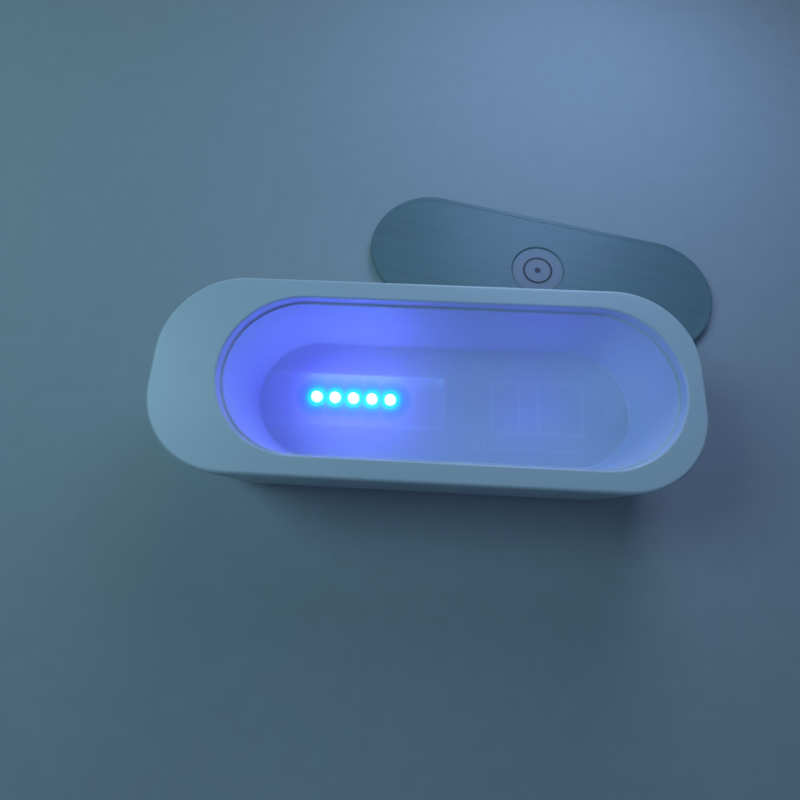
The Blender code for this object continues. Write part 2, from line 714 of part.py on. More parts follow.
def make_switch(epoxy, frame):
    """The tactile switch behind the power button, with its plunger."""
    mesh = bmesh.new()
    low = (OUTER_SIDE_X - SWITCH_DEPTH, -SWITCH_HALF_SIZE, BUTTON_HEIGHT - SWITCH_HALF_SIZE)
    high = (OUTER_SIDE_X, SWITCH_HALF_SIZE, BUTTON_HEIGHT + SWITCH_HALF_SIZE)
    add_box(mesh, low, high)
    switch = finish(mesh, "tact_switch", epoxy, frame)
    mesh = bmesh.new()
    start_x = low[0] - PLUNGER_LENGTH
    add_cross_rod(mesh, start_x, low[0] + 0.5, 0.0, BUTTON_HEIGHT, PLUNGER_RADIUS)
    combine(switch, finish(mesh, "switch_plunger", epoxy, frame), "UNION")


def make_button(plastic, frame):
    """The power button, kept in its hole by a flange; its origin is on the line that it slides along."""
    mesh = bmesh.new()
    edge = 0.5
    flange = BUTTON_FLANGE_X - BUTTON_FACE_X
    rings = [
        (circle(BUTTON_RADIUS - edge), 0.0),
        (circle(BUTTON_RADIUS), edge),
        (circle(BUTTON_RADIUS), flange),
        (circle(BUTTON_FLANGE_RADIUS), flange),
        (circle(BUTTON_FLANGE_RADIUS), flange + BUTTON_FLANGE_THICKNESS),
    ]
    button = add_loft(mesh, rings)
    lay_along_x(mesh, button, 0.0, 0.0, 0.0)
    button = finish(mesh, "power_button", plastic, frame)
    button.location = Vector((BUTTON_FACE_X, 0.0, BUTTON_HEIGHT)) * MM


# Cell and leads

def make_cell(foil, foam, frame):
    """The flat lithium cell, and the foam tape that holds it to the cover."""
    middle_x = 0.5 * (CELL_BAY_LEFT + CELL_BAY_RIGHT)
    pad_top = BOSS_BOTTOM + PAD_THICKNESS
    bottom = pad_top + FIT_GAP
    mesh = bmesh.new()
    half_length = 0.5 * CELL_LENGTH
    half_width = 0.5 * CELL_WIDTH
    edge = 0.8
    outline = rounded_outline(middle_x - half_length, middle_x + half_length, half_width, 2.0, 2.0, 3)
    inner_length = half_length - edge
    inner = rounded_outline(middle_x - inner_length, middle_x + inner_length, half_width - edge, 1.2, 1.2, 3)
    rings = [
        (inner, bottom),
        (outline, bottom + edge),
        (outline, bottom + CELL_THICKNESS - edge),
        (inner, bottom + CELL_THICKNESS),
    ]
    add_loft(mesh, rings)
    finish(mesh, "battery_cell", foil, frame)
    mesh = bmesh.new()
    low = (middle_x - 0.5 * PAD_LENGTH, -0.5 * PAD_WIDTH, BOSS_BOTTOM)
    high = (middle_x + 0.5 * PAD_LENGTH, 0.5 * PAD_WIDTH, pad_top)
    add_box(mesh, low, high)
    finish(mesh, "battery_pad", foam, frame)


def make_lead(name, route, material, frame):
    """A round lead along a smooth line through the route's points."""
    points = [Vector(point) for point in route]
    padded = [2.0 * points[0] - points[1]] + points + [2.0 * points[-1] - points[-2]]
    line = []
    steps = 6
    for before, start, end, after in zip(padded, padded[1:], padded[2:], padded[3:]):
        for step in range(steps):
            part = step / steps
            line.append(0.5 * (
                2.0 * start
                + (end - before) * part
                + (2.0 * before - 5.0 * start + 4.0 * end - after) * part ** 2
                + (3.0 * start - before - 3.0 * end + after) * part ** 3
            ))
    line.append(points[-1])
    curve = bpy.data.curves.new(name, "CURVE")
    curve.dimensions = "3D"
    curve.bevel_depth = LEAD_RADIUS * MM
    curve.bevel_resolution = 2
    curve.use_fill_caps = True
    spline = curve.splines.new("POLY")
    spline.points.add(len(line) - 1)
    for spot, place_on_line in zip(spline.points, line):
        spot.co = (*(place_on_line * MM), 1.0)
    curve.materials.append(material)
    place(curve, name, frame)


def make_leads(red, black, frame):
    """Two leads to the LED board and two to the cell, side by side."""
    socket_x = INNER_SIDE_X + 4.4 + FIT_GAP
    plug_z = LED_BOARD_TOP + FIT_GAP + 0.5 * LED_PLUG_HEIGHT
    cell_x = 0.5 * (CELL_BAY_LEFT + CELL_BAY_RIGHT - CELL_LENGTH) - FIT_GAP
    cell_z = BOSS_BOTTOM + PAD_THICKNESS + FIT_GAP + 0.5 * CELL_THICKNESS
    for kind, material, side in (("positive", red, 0.5), ("negative", black, -0.5)):
        shift = side * LEAD_PITCH
        led_route = [
            (socket_x, -8.0 + shift, 12.6),
            (-112.5, -8.0 + shift, 11.8),
            (-105.0, LED_PLUG_Y + shift, 10.2),
            (-98.0, LED_PLUG_Y + shift, 10.6),
            (LED_PLUG_LEFT - FIT_GAP, LED_PLUG_Y + shift, plug_z),
        ]
        make_lead(f"led_lead_{kind}", led_route, material, frame)
        cell_route = [
            (socket_x, 8.0 + shift, 12.6),
            (-112.5, 8.6 + shift, 11.6),
            (-105.0, 13.0 + shift, 10.0),
            (-94.0, 17.2 + shift, 9.6),
            (-60.0, 17.6 + shift, 9.6),
            (-25.0, 17.6 + shift, 9.6),
            (2.0, 17.4 + shift, 9.6),
            (12.0, 12.6 + shift, 9.6),
            (20.0, 10.2 + shift, 9.6),
            (cell_x, 10.0 + shift, cell_z),
        ]
        make_lead(f"battery_lead_{kind}", cell_route, material, frame)


# Lid

def lid_outline(inset):
    """Outline of the lid, which fits the tank opening with a gap all round."""
    return obround(LID_GAP + inset)


def make_lid(frosted, frame):
    """The lid: a flat plate with a low wall around its underside and a round dish in its middle."""
    mesh = bmesh.new()
    rings = [
        (lid_outline(0.0), 0.0),
        (lid_outline(0.0), LID_HEIGHT - LID_BEVEL),
        (lid_outline(LID_BEVEL), LID_HEIGHT),
    ]
    add_loft(mesh, rings)
    lid = finish(mesh, "lid", frosted, frame)
    mesh = bmesh.new()
    add_prism(mesh, lid_outline(LID_WALL), -PAST_FACE, LID_HEIGHT - LID_PLATE)
    combine(lid, finish(mesh, "lid_underside", frosted, frame), "DIFFERENCE")
    mesh = bmesh.new()
    rings = [
        (circle(DISH_RADIUS - DISH_DEPTH, 48), LID_HEIGHT - DISH_DEPTH),
        (circle(DISH_RADIUS, 48), LID_HEIGHT),
        (circle(DISH_RADIUS, 48), LID_HEIGHT + PAST_FACE),
    ]
    add_loft(mesh, rings)
    combine(lid, finish(mesh, "lid_dish", frosted, frame), "DIFFERENCE")


def make_badge(ink, frame):
    """A plain flat ring in the lid's dish."""
    mesh = bmesh.new()
    bottom = LID_HEIGHT - DISH_DEPTH + TRIM_GAP
    top = bottom + BADGE_THICKNESS
    profile = ((BADGE_INNER_RADIUS, bottom), (BADGE_OUTER_RADIUS, bottom), (BADGE_OUTER_RADIUS, top),
               (BADGE_INNER_RADIUS, top))
    loops = [[mesh.verts.new((x * MM, y * MM, z * MM)) for x, y in circle(radius)] for radius, z in profile]
    for first, second in zip(loops, loops[1:] + loops[:1]):
        for index in range(ROUND_STEPS):
            following = (index + 1) % ROUND_STEPS
            mesh.faces.new((first[index], first[following], second[following], second[index]))
    finish(mesh, "lid_badge", ink, frame)


# Frames

def make_empty(name, x, y, turn=0.0):
    """An empty on the table that carries a group of pieces."""
    empty = bpy.data.objects.new(name, None)
    empty.location = Vector((x, y, 0.0)) * MM
    empty.rotation_euler = (0.0, 0.0, turn)
    bpy.context.scene.collection.objects.link(empty)
    return empty


def make_frames():
    """The housing's frame and the lid's, set so that the origin is below the middle of the whole layout."""
    lid_radius = OPENING_HALF_WIDTH - LID_GAP
    lid_reach = OPENING_HALF_LENGTH - OPENING_HALF_WIDTH
    left = BUTTON_FACE_X
    right = LID_OFFSET.x + lid_reach * math.cos(LID_TURN) + lid_radius
    front = -BODY_HALF_WIDTH
    back = LID_OFFSET.y - lid_reach * math.sin(LID_TURN) + lid_radius
    tank_x = -0.5 * (left + right)
    tank_y = -0.5 * (front + back)
    housing_frame = make_empty("housing_frame", tank_x, tank_y)
    lid_frame = make_empty("lid_frame", tank_x + LID_OFFSET.x, tank_y + LID_OFFSET.y, LID_TURN)
    return housing_frame, lid_frame


def main():
    """Build the sanitizer."""
    for thing in list(bpy.data.objects):
        bpy.data.objects.remove(thing, do_unlink=True)
    white = make_material("white_abs", (0.80, 0.83, 0.85), 0.35)
    frosted = make_material("frosted_grey", (0.36, 0.42, 0.45), 0.4)
    lens = make_material("led_epoxy", (0.75, 0.8, 1.0), 0.1, glow=(0.35, 0.45, 1.0))
    rubber = make_material("grey_rubber", (0.12, 0.12, 0.13), 0.8)
    steel = make_material("steel", (0.6, 0.61, 0.63), 0.3, metallic=1.0)
    laminate = make_material("green_laminate", (0.03, 0.22, 0.1), 0.45)
    epoxy = make_material("black_epoxy", (0.02, 0.02, 0.022), 0.5)
    ceramic = make_material("resistor_ceramic", (0.1, 0.1, 0.11), 0.5)
    ferrite = make_material("ferrite", (0.08, 0.08, 0.085), 0.7)
    nylon = make_material("natural_nylon", (0.8, 0.78, 0.7), 0.5)
    foil = make_material("cell_foil", (0.62, 0.64, 0.66), 0.35, metallic=0.8)
    foam = make_material("foam_tape", (0.75, 0.75, 0.72), 0.9)
    red = make_material("red_insulation", (0.55, 0.03, 0.03), 0.5)
    black = make_material("black_insulation", (0.02, 0.02, 0.02), 0.5)
    ink = make_material("black_ink", (0.015, 0.015, 0.017), 0.5)
    housing_frame, lid_frame = make_frames()
    make_housing(white, housing_frame)
    make_cover(white, housing_frame)
    make_feet(rubber, housing_frame)
    make_base_screws(steel, housing_frame)
    make_leds(lens, housing_frame)
    make_led_board(laminate, housing_frame)
    make_led_resistors(ceramic, housing_frame)
    make_led_connector(nylon, housing_frame)
    make_control_board(laminate, housing_frame)
    make_control_screws(steel, housing_frame)
    make_control_parts(epoxy, ferrite, nylon, housing_frame)
    make_socket(steel, nylon, housing_frame)
    make_switch(epoxy, housing_frame)
    make_button(white, housing_frame)
    make_cell(foil, foam, housing_frame)
    make_leads(red, black, housing_frame)
    make_lid(frosted, lid_frame)
    make_badge(ink, lid_frame)


main()
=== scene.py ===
"""Toothbrush sanitizer: the finished surfaces, materials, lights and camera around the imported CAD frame.

The white housing is one moulding with a long tank, five lit ultraviolet LEDs in its floor and a rebate
for the lid. The grey lid lies behind it. Below the tank are the LED board, the cell and the leads, and the
control board stands in the left shoulder behind the charging socket and the power button.
"""

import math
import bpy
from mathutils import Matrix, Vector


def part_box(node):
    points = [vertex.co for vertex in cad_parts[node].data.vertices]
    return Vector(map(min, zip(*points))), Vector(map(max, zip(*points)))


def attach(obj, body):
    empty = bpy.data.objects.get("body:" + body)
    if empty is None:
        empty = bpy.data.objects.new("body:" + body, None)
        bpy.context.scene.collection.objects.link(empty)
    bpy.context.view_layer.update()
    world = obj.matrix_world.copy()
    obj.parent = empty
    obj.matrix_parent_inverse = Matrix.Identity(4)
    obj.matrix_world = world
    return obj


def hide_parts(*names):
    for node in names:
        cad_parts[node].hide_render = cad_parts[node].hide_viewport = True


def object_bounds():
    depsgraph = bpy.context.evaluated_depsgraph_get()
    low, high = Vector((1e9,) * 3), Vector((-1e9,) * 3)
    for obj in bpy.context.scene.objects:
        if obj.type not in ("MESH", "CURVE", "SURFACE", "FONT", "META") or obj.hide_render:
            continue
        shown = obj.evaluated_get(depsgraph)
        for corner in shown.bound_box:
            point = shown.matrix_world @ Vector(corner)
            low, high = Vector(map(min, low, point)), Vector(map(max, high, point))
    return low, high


bl_info = {
    "name": "Toothbrush Sanitizer",
    "version": (1, 0, 0),
    "blender": (4, 5, 0),
    "location": "3D View > Sidebar > Sanitizer",
    "description": "Builds a toothbrush sanitizer with a lit tank, a loose lid and its electronics",
    "category": "Add Mesh",
}

import bmesh
import bpy
from bpy.props import FloatProperty, FloatVectorProperty, PointerProperty
from bpy.types import Operator, Panel, PropertyGroup
from mathutils import Matrix, Vector

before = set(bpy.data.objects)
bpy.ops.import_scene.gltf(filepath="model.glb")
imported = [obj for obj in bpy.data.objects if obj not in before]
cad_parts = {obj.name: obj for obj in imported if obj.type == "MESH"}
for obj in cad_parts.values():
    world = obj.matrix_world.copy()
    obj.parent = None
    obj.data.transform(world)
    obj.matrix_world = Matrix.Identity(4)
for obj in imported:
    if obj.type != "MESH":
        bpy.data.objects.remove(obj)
CAD_LOW, CAD_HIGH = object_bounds()

MM = 0.001

# Bodies of the frame
BASE = "base"
BUTTON = "button"
LID = "loose_lid"

# Steps round a full turn, a corner of the housing and a small radius
TURN_STEPS = 48
SMALL_TURN_STEPS = 24
WIDE_TURN_STEPS = 64
DISH_TURN_STEPS = 96
CORNER_STEPS = 28
FILLET_STEPS = 6

# How far a cutter reaches past the face that it cuts
PAST_FACE = 3.0 * MM

# Holes for the screws of the cover and of the control board
PILOT_RADIUS = 1.3 * MM
BOARD_SCREW_RADIUS = 1.15 * MM

# Ribs below the tank floor: thickness, and places from the cell bay's left end and from the bay's middle
RIB_THICKNESS = 1.2 * MM
CROSS_RIB_OFFSETS = (14.5 * MM, 24.3 * MM)
LONG_RIB_OFFSET = 22.0 * MM

# Colours that several pieces share
MASK_GREEN = (0.012, 0.13, 0.055)
NYLON = (0.78, 0.75, 0.66)
TIN = (0.72, 0.72, 0.73)

LED_NAMES = [f"uv_led_{number}" for number in range(1, 6)]
RESISTOR_NAMES = [f"led_resistor_{number}" for number in range(1, 6)]
BASE_SCREW_NAMES = [f"base_screw_{number}" for number in range(1, 5)]
CONTROL_SCREW_NAMES = ["control_screw_1", "control_screw_2"]
FOOT_NAMES = ["foot_front_left", "foot_front_right", "foot_rear_left", "foot_rear_right"]


def middle_of(node):
    """Centre of a CAD node's box."""
    low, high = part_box(node)
    return 0.5 * (low + high)


HOUSING_LOW, HOUSING_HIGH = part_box("housing")
LED_MIDDLES = [middle_of(name) for name in LED_NAMES]
LED_PITCH = (LED_MIDDLES[-1].x - LED_MIDDLES[0].x) / (len(LED_NAMES) - 1)
BOSS_MIDDLES = [middle_of(name) for name in BASE_SCREW_NAMES]
TANK_X = HOUSING_LOW.x + 130.8 * MM
TANK_Y = 0.5 * (HOUSING_LOW.y + HOUSING_HIGH.y)


# Settings

class HousingSettings(PropertyGroup):
    """Sizes and colour of the white moulding."""

    shoulder: FloatProperty(
        name="Shoulder", default=29.8 * MM, unit="LENGTH",
        description="Length of the flat top between the left end and the tank",
    )
    end_rim: FloatProperty(
        name="End rim", default=8.2 * MM, unit="LENGTH",
        description="Width of the rim at the right end of the tank",
    )
    side_rim: FloatProperty(
        name="Side rim", default=9.3 * MM, unit="LENGTH",
        description="Width of the rim in front of and behind the tank",
    )
    left_corner: FloatProperty(
        name="Left corners", default=37.6 * MM, unit="LENGTH",
        description="Radius of the two left corners in plan",
    )
    right_corner: FloatProperty(
        name="Right corners", default=35.8 * MM, unit="LENGTH",
        description="Radius of the two right corners in plan",
    )
    rim_edge: FloatProperty(
        name="Rim edge", default=1.6 * MM, unit="LENGTH",
        description="Radius of the outer edge of the rim",
    )
    mouth_edge: FloatProperty(
        name="Mouth edge", default=1.0 * MM, unit="LENGTH",
        description="Radius of the edge where the rim turns down into the tank",
    )
    ledge_depth: FloatProperty(
        name="Ledge depth", default=4.8 * MM, unit="LENGTH",
        description="Height from the rim down to the ledge that carries the lid",
    )
    ledge_width: FloatProperty(
        name="Ledge width", default=1.2 * MM, unit="LENGTH",
        description="Width of the ledge that carries the lid",
    )
    tank_depth: FloatProperty(
        name="Tank depth", default=41.5 * MM, unit="LENGTH",
        description="Height from the rim down to the tank floor",
    )
    tank_taper: FloatProperty(
        name="Tank taper", default=3.8 * MM, unit="LENGTH",
        description="How far the tank wall leans in between the ledge and the floor",
    )
    floor_fillet: FloatProperty(
        name="Floor fillet", default=1.2 * MM, unit="LENGTH",
        description="Radius between the tank wall and its floor",
    )
    skirt_taper: FloatProperty(
        name="Skirt taper", default=0.8 * MM, unit="LENGTH",
        description="How far the outer wall leans in between the rim and its lower edge",
    )
    wall: FloatProperty(
        name="Wall", default=2.2 * MM, unit="LENGTH",
        description="Thickness of the outer wall and of the top",
    )
    tank_wall: FloatProperty(
        name="Tank wall", default=2.0 * MM, unit="LENGTH",
        description="Thickness of the tank's wall and floor",
    )
    colour: FloatVectorProperty(
        name="Plastic colour", default=(0.74, 0.82, 0.85), min=0.0, max=1.0, subtype="COLOR",
        description="Colour of the white plastic",
    )


class LightSettings(PropertyGroup):
    """Colours and power of the lit LEDs."""

    core: FloatVectorProperty(
        name="Core colour", default=(0.93, 1.0, 1.0), min=0.0, max=1.0, subtype="COLOR",
        description="Colour of the bright middle of an LED",
    )
    halo: FloatVectorProperty(
        name="Halo colour", default=(0.0, 0.62, 0.46), min=0.0, max=1.0, subtype="COLOR",
        description="Colour of the ring of light around an LED",
    )
    glow: FloatVectorProperty(
        name="Glow colour", default=(0.08, 0.035, 1.0), min=0.0, max=1.0, subtype="COLOR",
        description="Colour of the light that fills the tank",
    )
    power: FloatProperty(
        name="Power", default=0.0076, min=0.0, unit="POWER",
        description="Radiant power of one LED",
    )


class LidSettings(PropertyGroup):
    """Sizes and colour of the lid."""

    gap: FloatProperty(
        name="Gap", default=0.57 * MM, unit="LENGTH",
        description="Gap between the lid and the tank's mouth",
    )
    plate: FloatProperty(
        name="Plate", default=2.0 * MM, unit="LENGTH",
        description="Thickness of the lid's top",
    )
    wall: FloatProperty(
        name="Wall", default=1.6 * MM, unit="LENGTH",
        description="Thickness of the low wall around the lid's underside",
    )
    edge: FloatProperty(
        name="Edge", default=0.8 * MM, unit="LENGTH",
        description="Width of the slope around the lid's top",
    )
    dish: FloatProperty(
        name="Dish", default=15.5 * MM, unit="LENGTH",
        description="Radius of the round dish in the lid's middle",
    )
    dish_depth: FloatProperty(
        name="Dish depth", default=0.8 * MM, unit="LENGTH",
        description="Depth of the round dish",
    )
    turn: FloatProperty(
        name="Turn", default=math.radians(-11.8), subtype="ANGLE",
        description="Angle between the lid and the housing",
    )
    colour: FloatVectorProperty(
        name="Lid colour", default=(0.215, 0.32, 0.34), min=0.0, max=1.0, subtype="COLOR",
        description="Colour of the frosted plastic",
    )
    ink: FloatVectorProperty(
        name="Ink colour", default=(0.008, 0.009, 0.012), min=0.0, max=1.0, subtype="COLOR",
        description="Colour of the mark in the dish",
    )


class StageSettings(PropertyGroup):
    """The camera's place, and the colours of the studio lights and of the floor."""

    azimuth: FloatProperty(
        name="Azimuth", default=math.radians(6.65), subtype="ANGLE",
        description="Direction of the camera around the housing",
    )
    elevation: FloatProperty(
        name="Elevation", default=math.radians(74.91), subtype="ANGLE",
        description="Height of the camera above the horizon",
    )
    roll: FloatProperty(
        name="Roll", default=math.radians(-3.81), subtype="ANGLE",
        description="Turn of the camera about its own axis",
    )
    distance: FloatProperty(
        name="Distance", default=190.9 * MM, unit="LENGTH",
        description="Distance from the camera to the point on the rim's plane that it looks at",
    )
    lens: FloatProperty(
        name="Lens", default=20.25, min=1.0,
        description="Focal length in millimetres",
    )
    daylight: FloatVectorProperty(
        name="Daylight colour", default=(0.43, 0.85, 1.0), min=0.0, max=1.0, subtype="COLOR",
        description="Colour of the dim light from the side",
    )
    shade: FloatVectorProperty(
        name="Shade colour", default=(0.35, 0.53, 1.0), min=0.0, max=1.0, subtype="COLOR",
        description="Colour of the light from the front and the window",
    )
    lamp: FloatVectorProperty(
        name="Lamp colour", default=(0.75, 0.86, 0.8), min=0.0, max=1.0, subtype="COLOR",
        description="Colour of the lamp behind the sanitizer",
    )
    floor: FloatVectorProperty(
        name="Floor colour", default=(0.5, 0.54, 0.56), min=0.0, max=1.0, subtype="COLOR",
        description="Colour of the floor",
    )


# Outlines and profiles

def rounded_outline(left, right, half_width, left_radius, right_radius, middle_y=0.0, steps=CORNER_STEPS):
    """Points, counter-clockwise, of a rectangle with one corner radius at each end."""
    corners = (
        (right - right_radius, half_width - right_radius, right_radius, 0.0),
        (left + left_radius, half_width - left_radius, left_radius, 0.5 * math.pi),
        (left + left_radius, left_radius - half_width, left_radius, math.pi),
        (right - right_radius, right_radius - half_width, right_radius, 1.5 * math.pi),
    )
    points = []
    for centre_x, centre_y, radius, start in corners:
        for step in range(steps + 1):
            angle = start + 0.5 * math.pi * step / steps
            x = centre_x + radius * math.cos(angle)
            y = middle_y + centre_y + radius * math.sin(angle)
            points.append((x, y))
    return points


def circle(radius, centre=(0.0, 0.0), steps=TURN_STEPS):
    """Points of a circle, counter-clockwise."""
    turns = [2.0 * math.pi * step / steps for step in range(steps)]
    return [(centre[0] + radius * math.cos(turn), centre[1] + radius * math.sin(turn)) for turn in turns]


def softened(corners, steps=FILLET_STEPS):
    """A profile with its corners made round; corners are (across, height, radius)."""
    profile = [Vector(corners[0][:2])]
    for before, corner, after in zip(corners, corners[1:], corners[2:]):
        point = Vector(corner[:2])
        radius = corner[2]
        if radius <= 0.0:
            profile.append(point)
            continue
        back = (Vector(before[:2]) - point).normalized()
        onward = (Vector(after[:2]) - point).normalized()
        half_angle = 0.5 * back.angle(onward)
        centre = point + (back + onward).normalized() * (radius / math.sin(half_angle))
        start = point + back * (radius / math.tan(half_angle)) - centre
        end = point + onward * (radius / math.tan(half_angle)) - centre
        sweep = start.angle_signed(end)
        for step in range(steps + 1):
            profile.append(centre + Matrix.Rotation(-sweep * step / steps, 2) @ start)
    profile.append(Vector(corners[-1][:2]))
    return profile


def add_loft(mesh, rings):
    """Add a closed solid through rings of (points, height)."""
    loops = [[mesh.verts.new((x, y, z)) for x, y in points] for points, z in rings]
    count = len(loops[0])
    mesh.faces.new(list(reversed(loops[0])))
    mesh.faces.new(loops[-1])
    for lower, upper in zip(loops, loops[1:]):
        for index in range(count):
            following = (index + 1) % count
            mesh.faces.new((lower[index], lower[following], upper[following], upper[index]))
    return [vertex for loop in loops for vertex in loop]


def add_box(mesh, low, high):
    """Add a box between two corners."""
    outline = [(low[0], low[1]), (high[0], low[1]), (high[0], high[1]), (low[0], high[1])]
    return add_loft(mesh, [(outline, low[2]), (outline, high[2])])


def add_rod(mesh, centre, radius, bottom, top, steps=TURN_STEPS):
    """Add an upright cylinder."""
    outline = circle(radius, centre, steps)
    return add_loft(mesh, [(outline, bottom), (outline, top)])


def along_x(start_x, y, z):
    """The turn and move that lay a shape built upwards from height 0 along +X."""
    return Matrix.Translation((start_x, y, z)) @ Matrix.Rotation(math.radians(90.0), 4, "Y")


def add_cross_rod(mesh, start_x, end_x, y, z, radius, steps=TURN_STEPS):
    """Add a cylinder that lies along X."""
    rod = add_rod(mesh, (0.0, 0.0), radius, 0.0, end_x - start_x, steps)
    bmesh.ops.transform(mesh, matrix=along_x(start_x, y, z), verts=rod)


# Pieces

def new_object(mesh, name):
    """Turn a bmesh into a linked object with merged doubles and outward faces."""
    bmesh.ops.remove_doubles(mesh, verts=mesh.verts, dist=0.0005 * MM)
    bmesh.ops.recalc_face_normals(mesh, faces=mesh.faces)
    data = bpy.data.meshes.new(name)
    mesh.to_mesh(data)
    mesh.free()
    piece = bpy.data.objects.new(name, data)
    bpy.context.scene.collection.objects.link(piece)
    return piece


def box_object(name, *boxes):
    """An object made of boxes, each given by its lowest and highest corner."""
    mesh = bmesh.new()
    for low, high in boxes:
        add_box(mesh, low, high)
    return new_object(mesh, name)


def cross_rod_object(name, *rods):
    """An object made of cylinders along X, each given as add_cross_rod takes it."""
    mesh = bmesh.new()
    for rod in rods:
        add_cross_rod(mesh, *rod)
    return new_object(mesh, name)


def settle(piece, place=None):
    """Apply a piece's modifiers, and then its place."""
    bpy.context.view_layer.update()
    evaluated = piece.evaluated_get(bpy.context.evaluated_depsgraph_get())
    data = bpy.data.meshes.new_from_object(evaluated)
    if place is not None:
        data.transform(place)
    piece.modifiers.clear()
    piece.data = data
    return piece


def combine(piece, tool, operation="DIFFERENCE"):
    """Cut a tool out of a piece or join it on, and remove the tool."""
    modifier = piece.modifiers.new("Shape", "BOOLEAN")
    modifier.object = tool
    modifier.operation = operation
    modifier.solver = "EXACT"
    modifier.material_mode = "TRANSFER"
    settle(piece)
    bpy.data.objects.remove(tool)
    return piece


def soften_edges(piece, width, segments=3, angle=30.0):
    """Keep a live bevel on a piece's edges."""
    bevel = piece.modifiers.new("Soft edges", "BEVEL")
    bevel.width = width
    bevel.segments = segments
    bevel.limit_method = "ANGLE"
    bevel.angle_limit = math.radians(angle)
    bevel.harden_normals = True
    return piece


def even_shading(piece):
    """Keep flat faces flat beside their round edges."""
    shading = piece.modifiers.new("Even shading", "WEIGHTED_NORMAL")
    shading.keep_sharp = True
    return piece


def turned(name, profile, steps=TURN_STEPS):
    """A solid turned about Z from a profile of (radius, height), listed from top to bottom.

    A profile that ends where it starts makes a ring.
    """
    mesh = bpy.data.meshes.new(name)
    points = [(radius, 0.0, height) for radius, height in profile]
    edges = [(index, index + 1) for index in range(len(points) - 1)]
    if points[0] == points[-1]:
        points.pop()
        edges[-1] = (len(points) - 1, 0)
    mesh.from_pydata(points, edges, [])
    piece = bpy.data.objects.new(name, mesh)
    bpy.context.scene.collection.objects.link(piece)
    screw = piece.modifiers.new("Turn", "SCREW")
    screw.steps = steps
    screw.render_steps = steps
    screw.use_merge_vertices = True
    screw.merge_threshold = 0.001 * MM
    return settle(piece)


def install(piece, body, material, replaced=(), angle=32.0):
    """Give a piece its shading and its body, hide the CAD nodes that it replaces, and give it its material
    unless it has its own.
    """
    if material is not None:
        piece.data.materials.clear()
        piece.data.materials.append(material)
    piece.data.shade_smooth()
    piece.data.set_sharp_from_angle(angle=math.radians(angle))
    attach(piece, body)
    if replaced:
        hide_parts(*replaced)
    return piece


# Materials

def start_material(name):
    """An empty node material, its nodes and its links."""
    material = bpy.data.materials.new(name)
    material.use_nodes = True
    material.node_tree.nodes.clear()
    return material, material.node_tree.nodes, material.node_tree.links


def spread(*columns):
    """Set out nodes in columns from left to right."""
    for across, column in enumerate(columns):
        for down, node in enumerate(column):
            node.location = (240.0 * across, -220.0 * down)


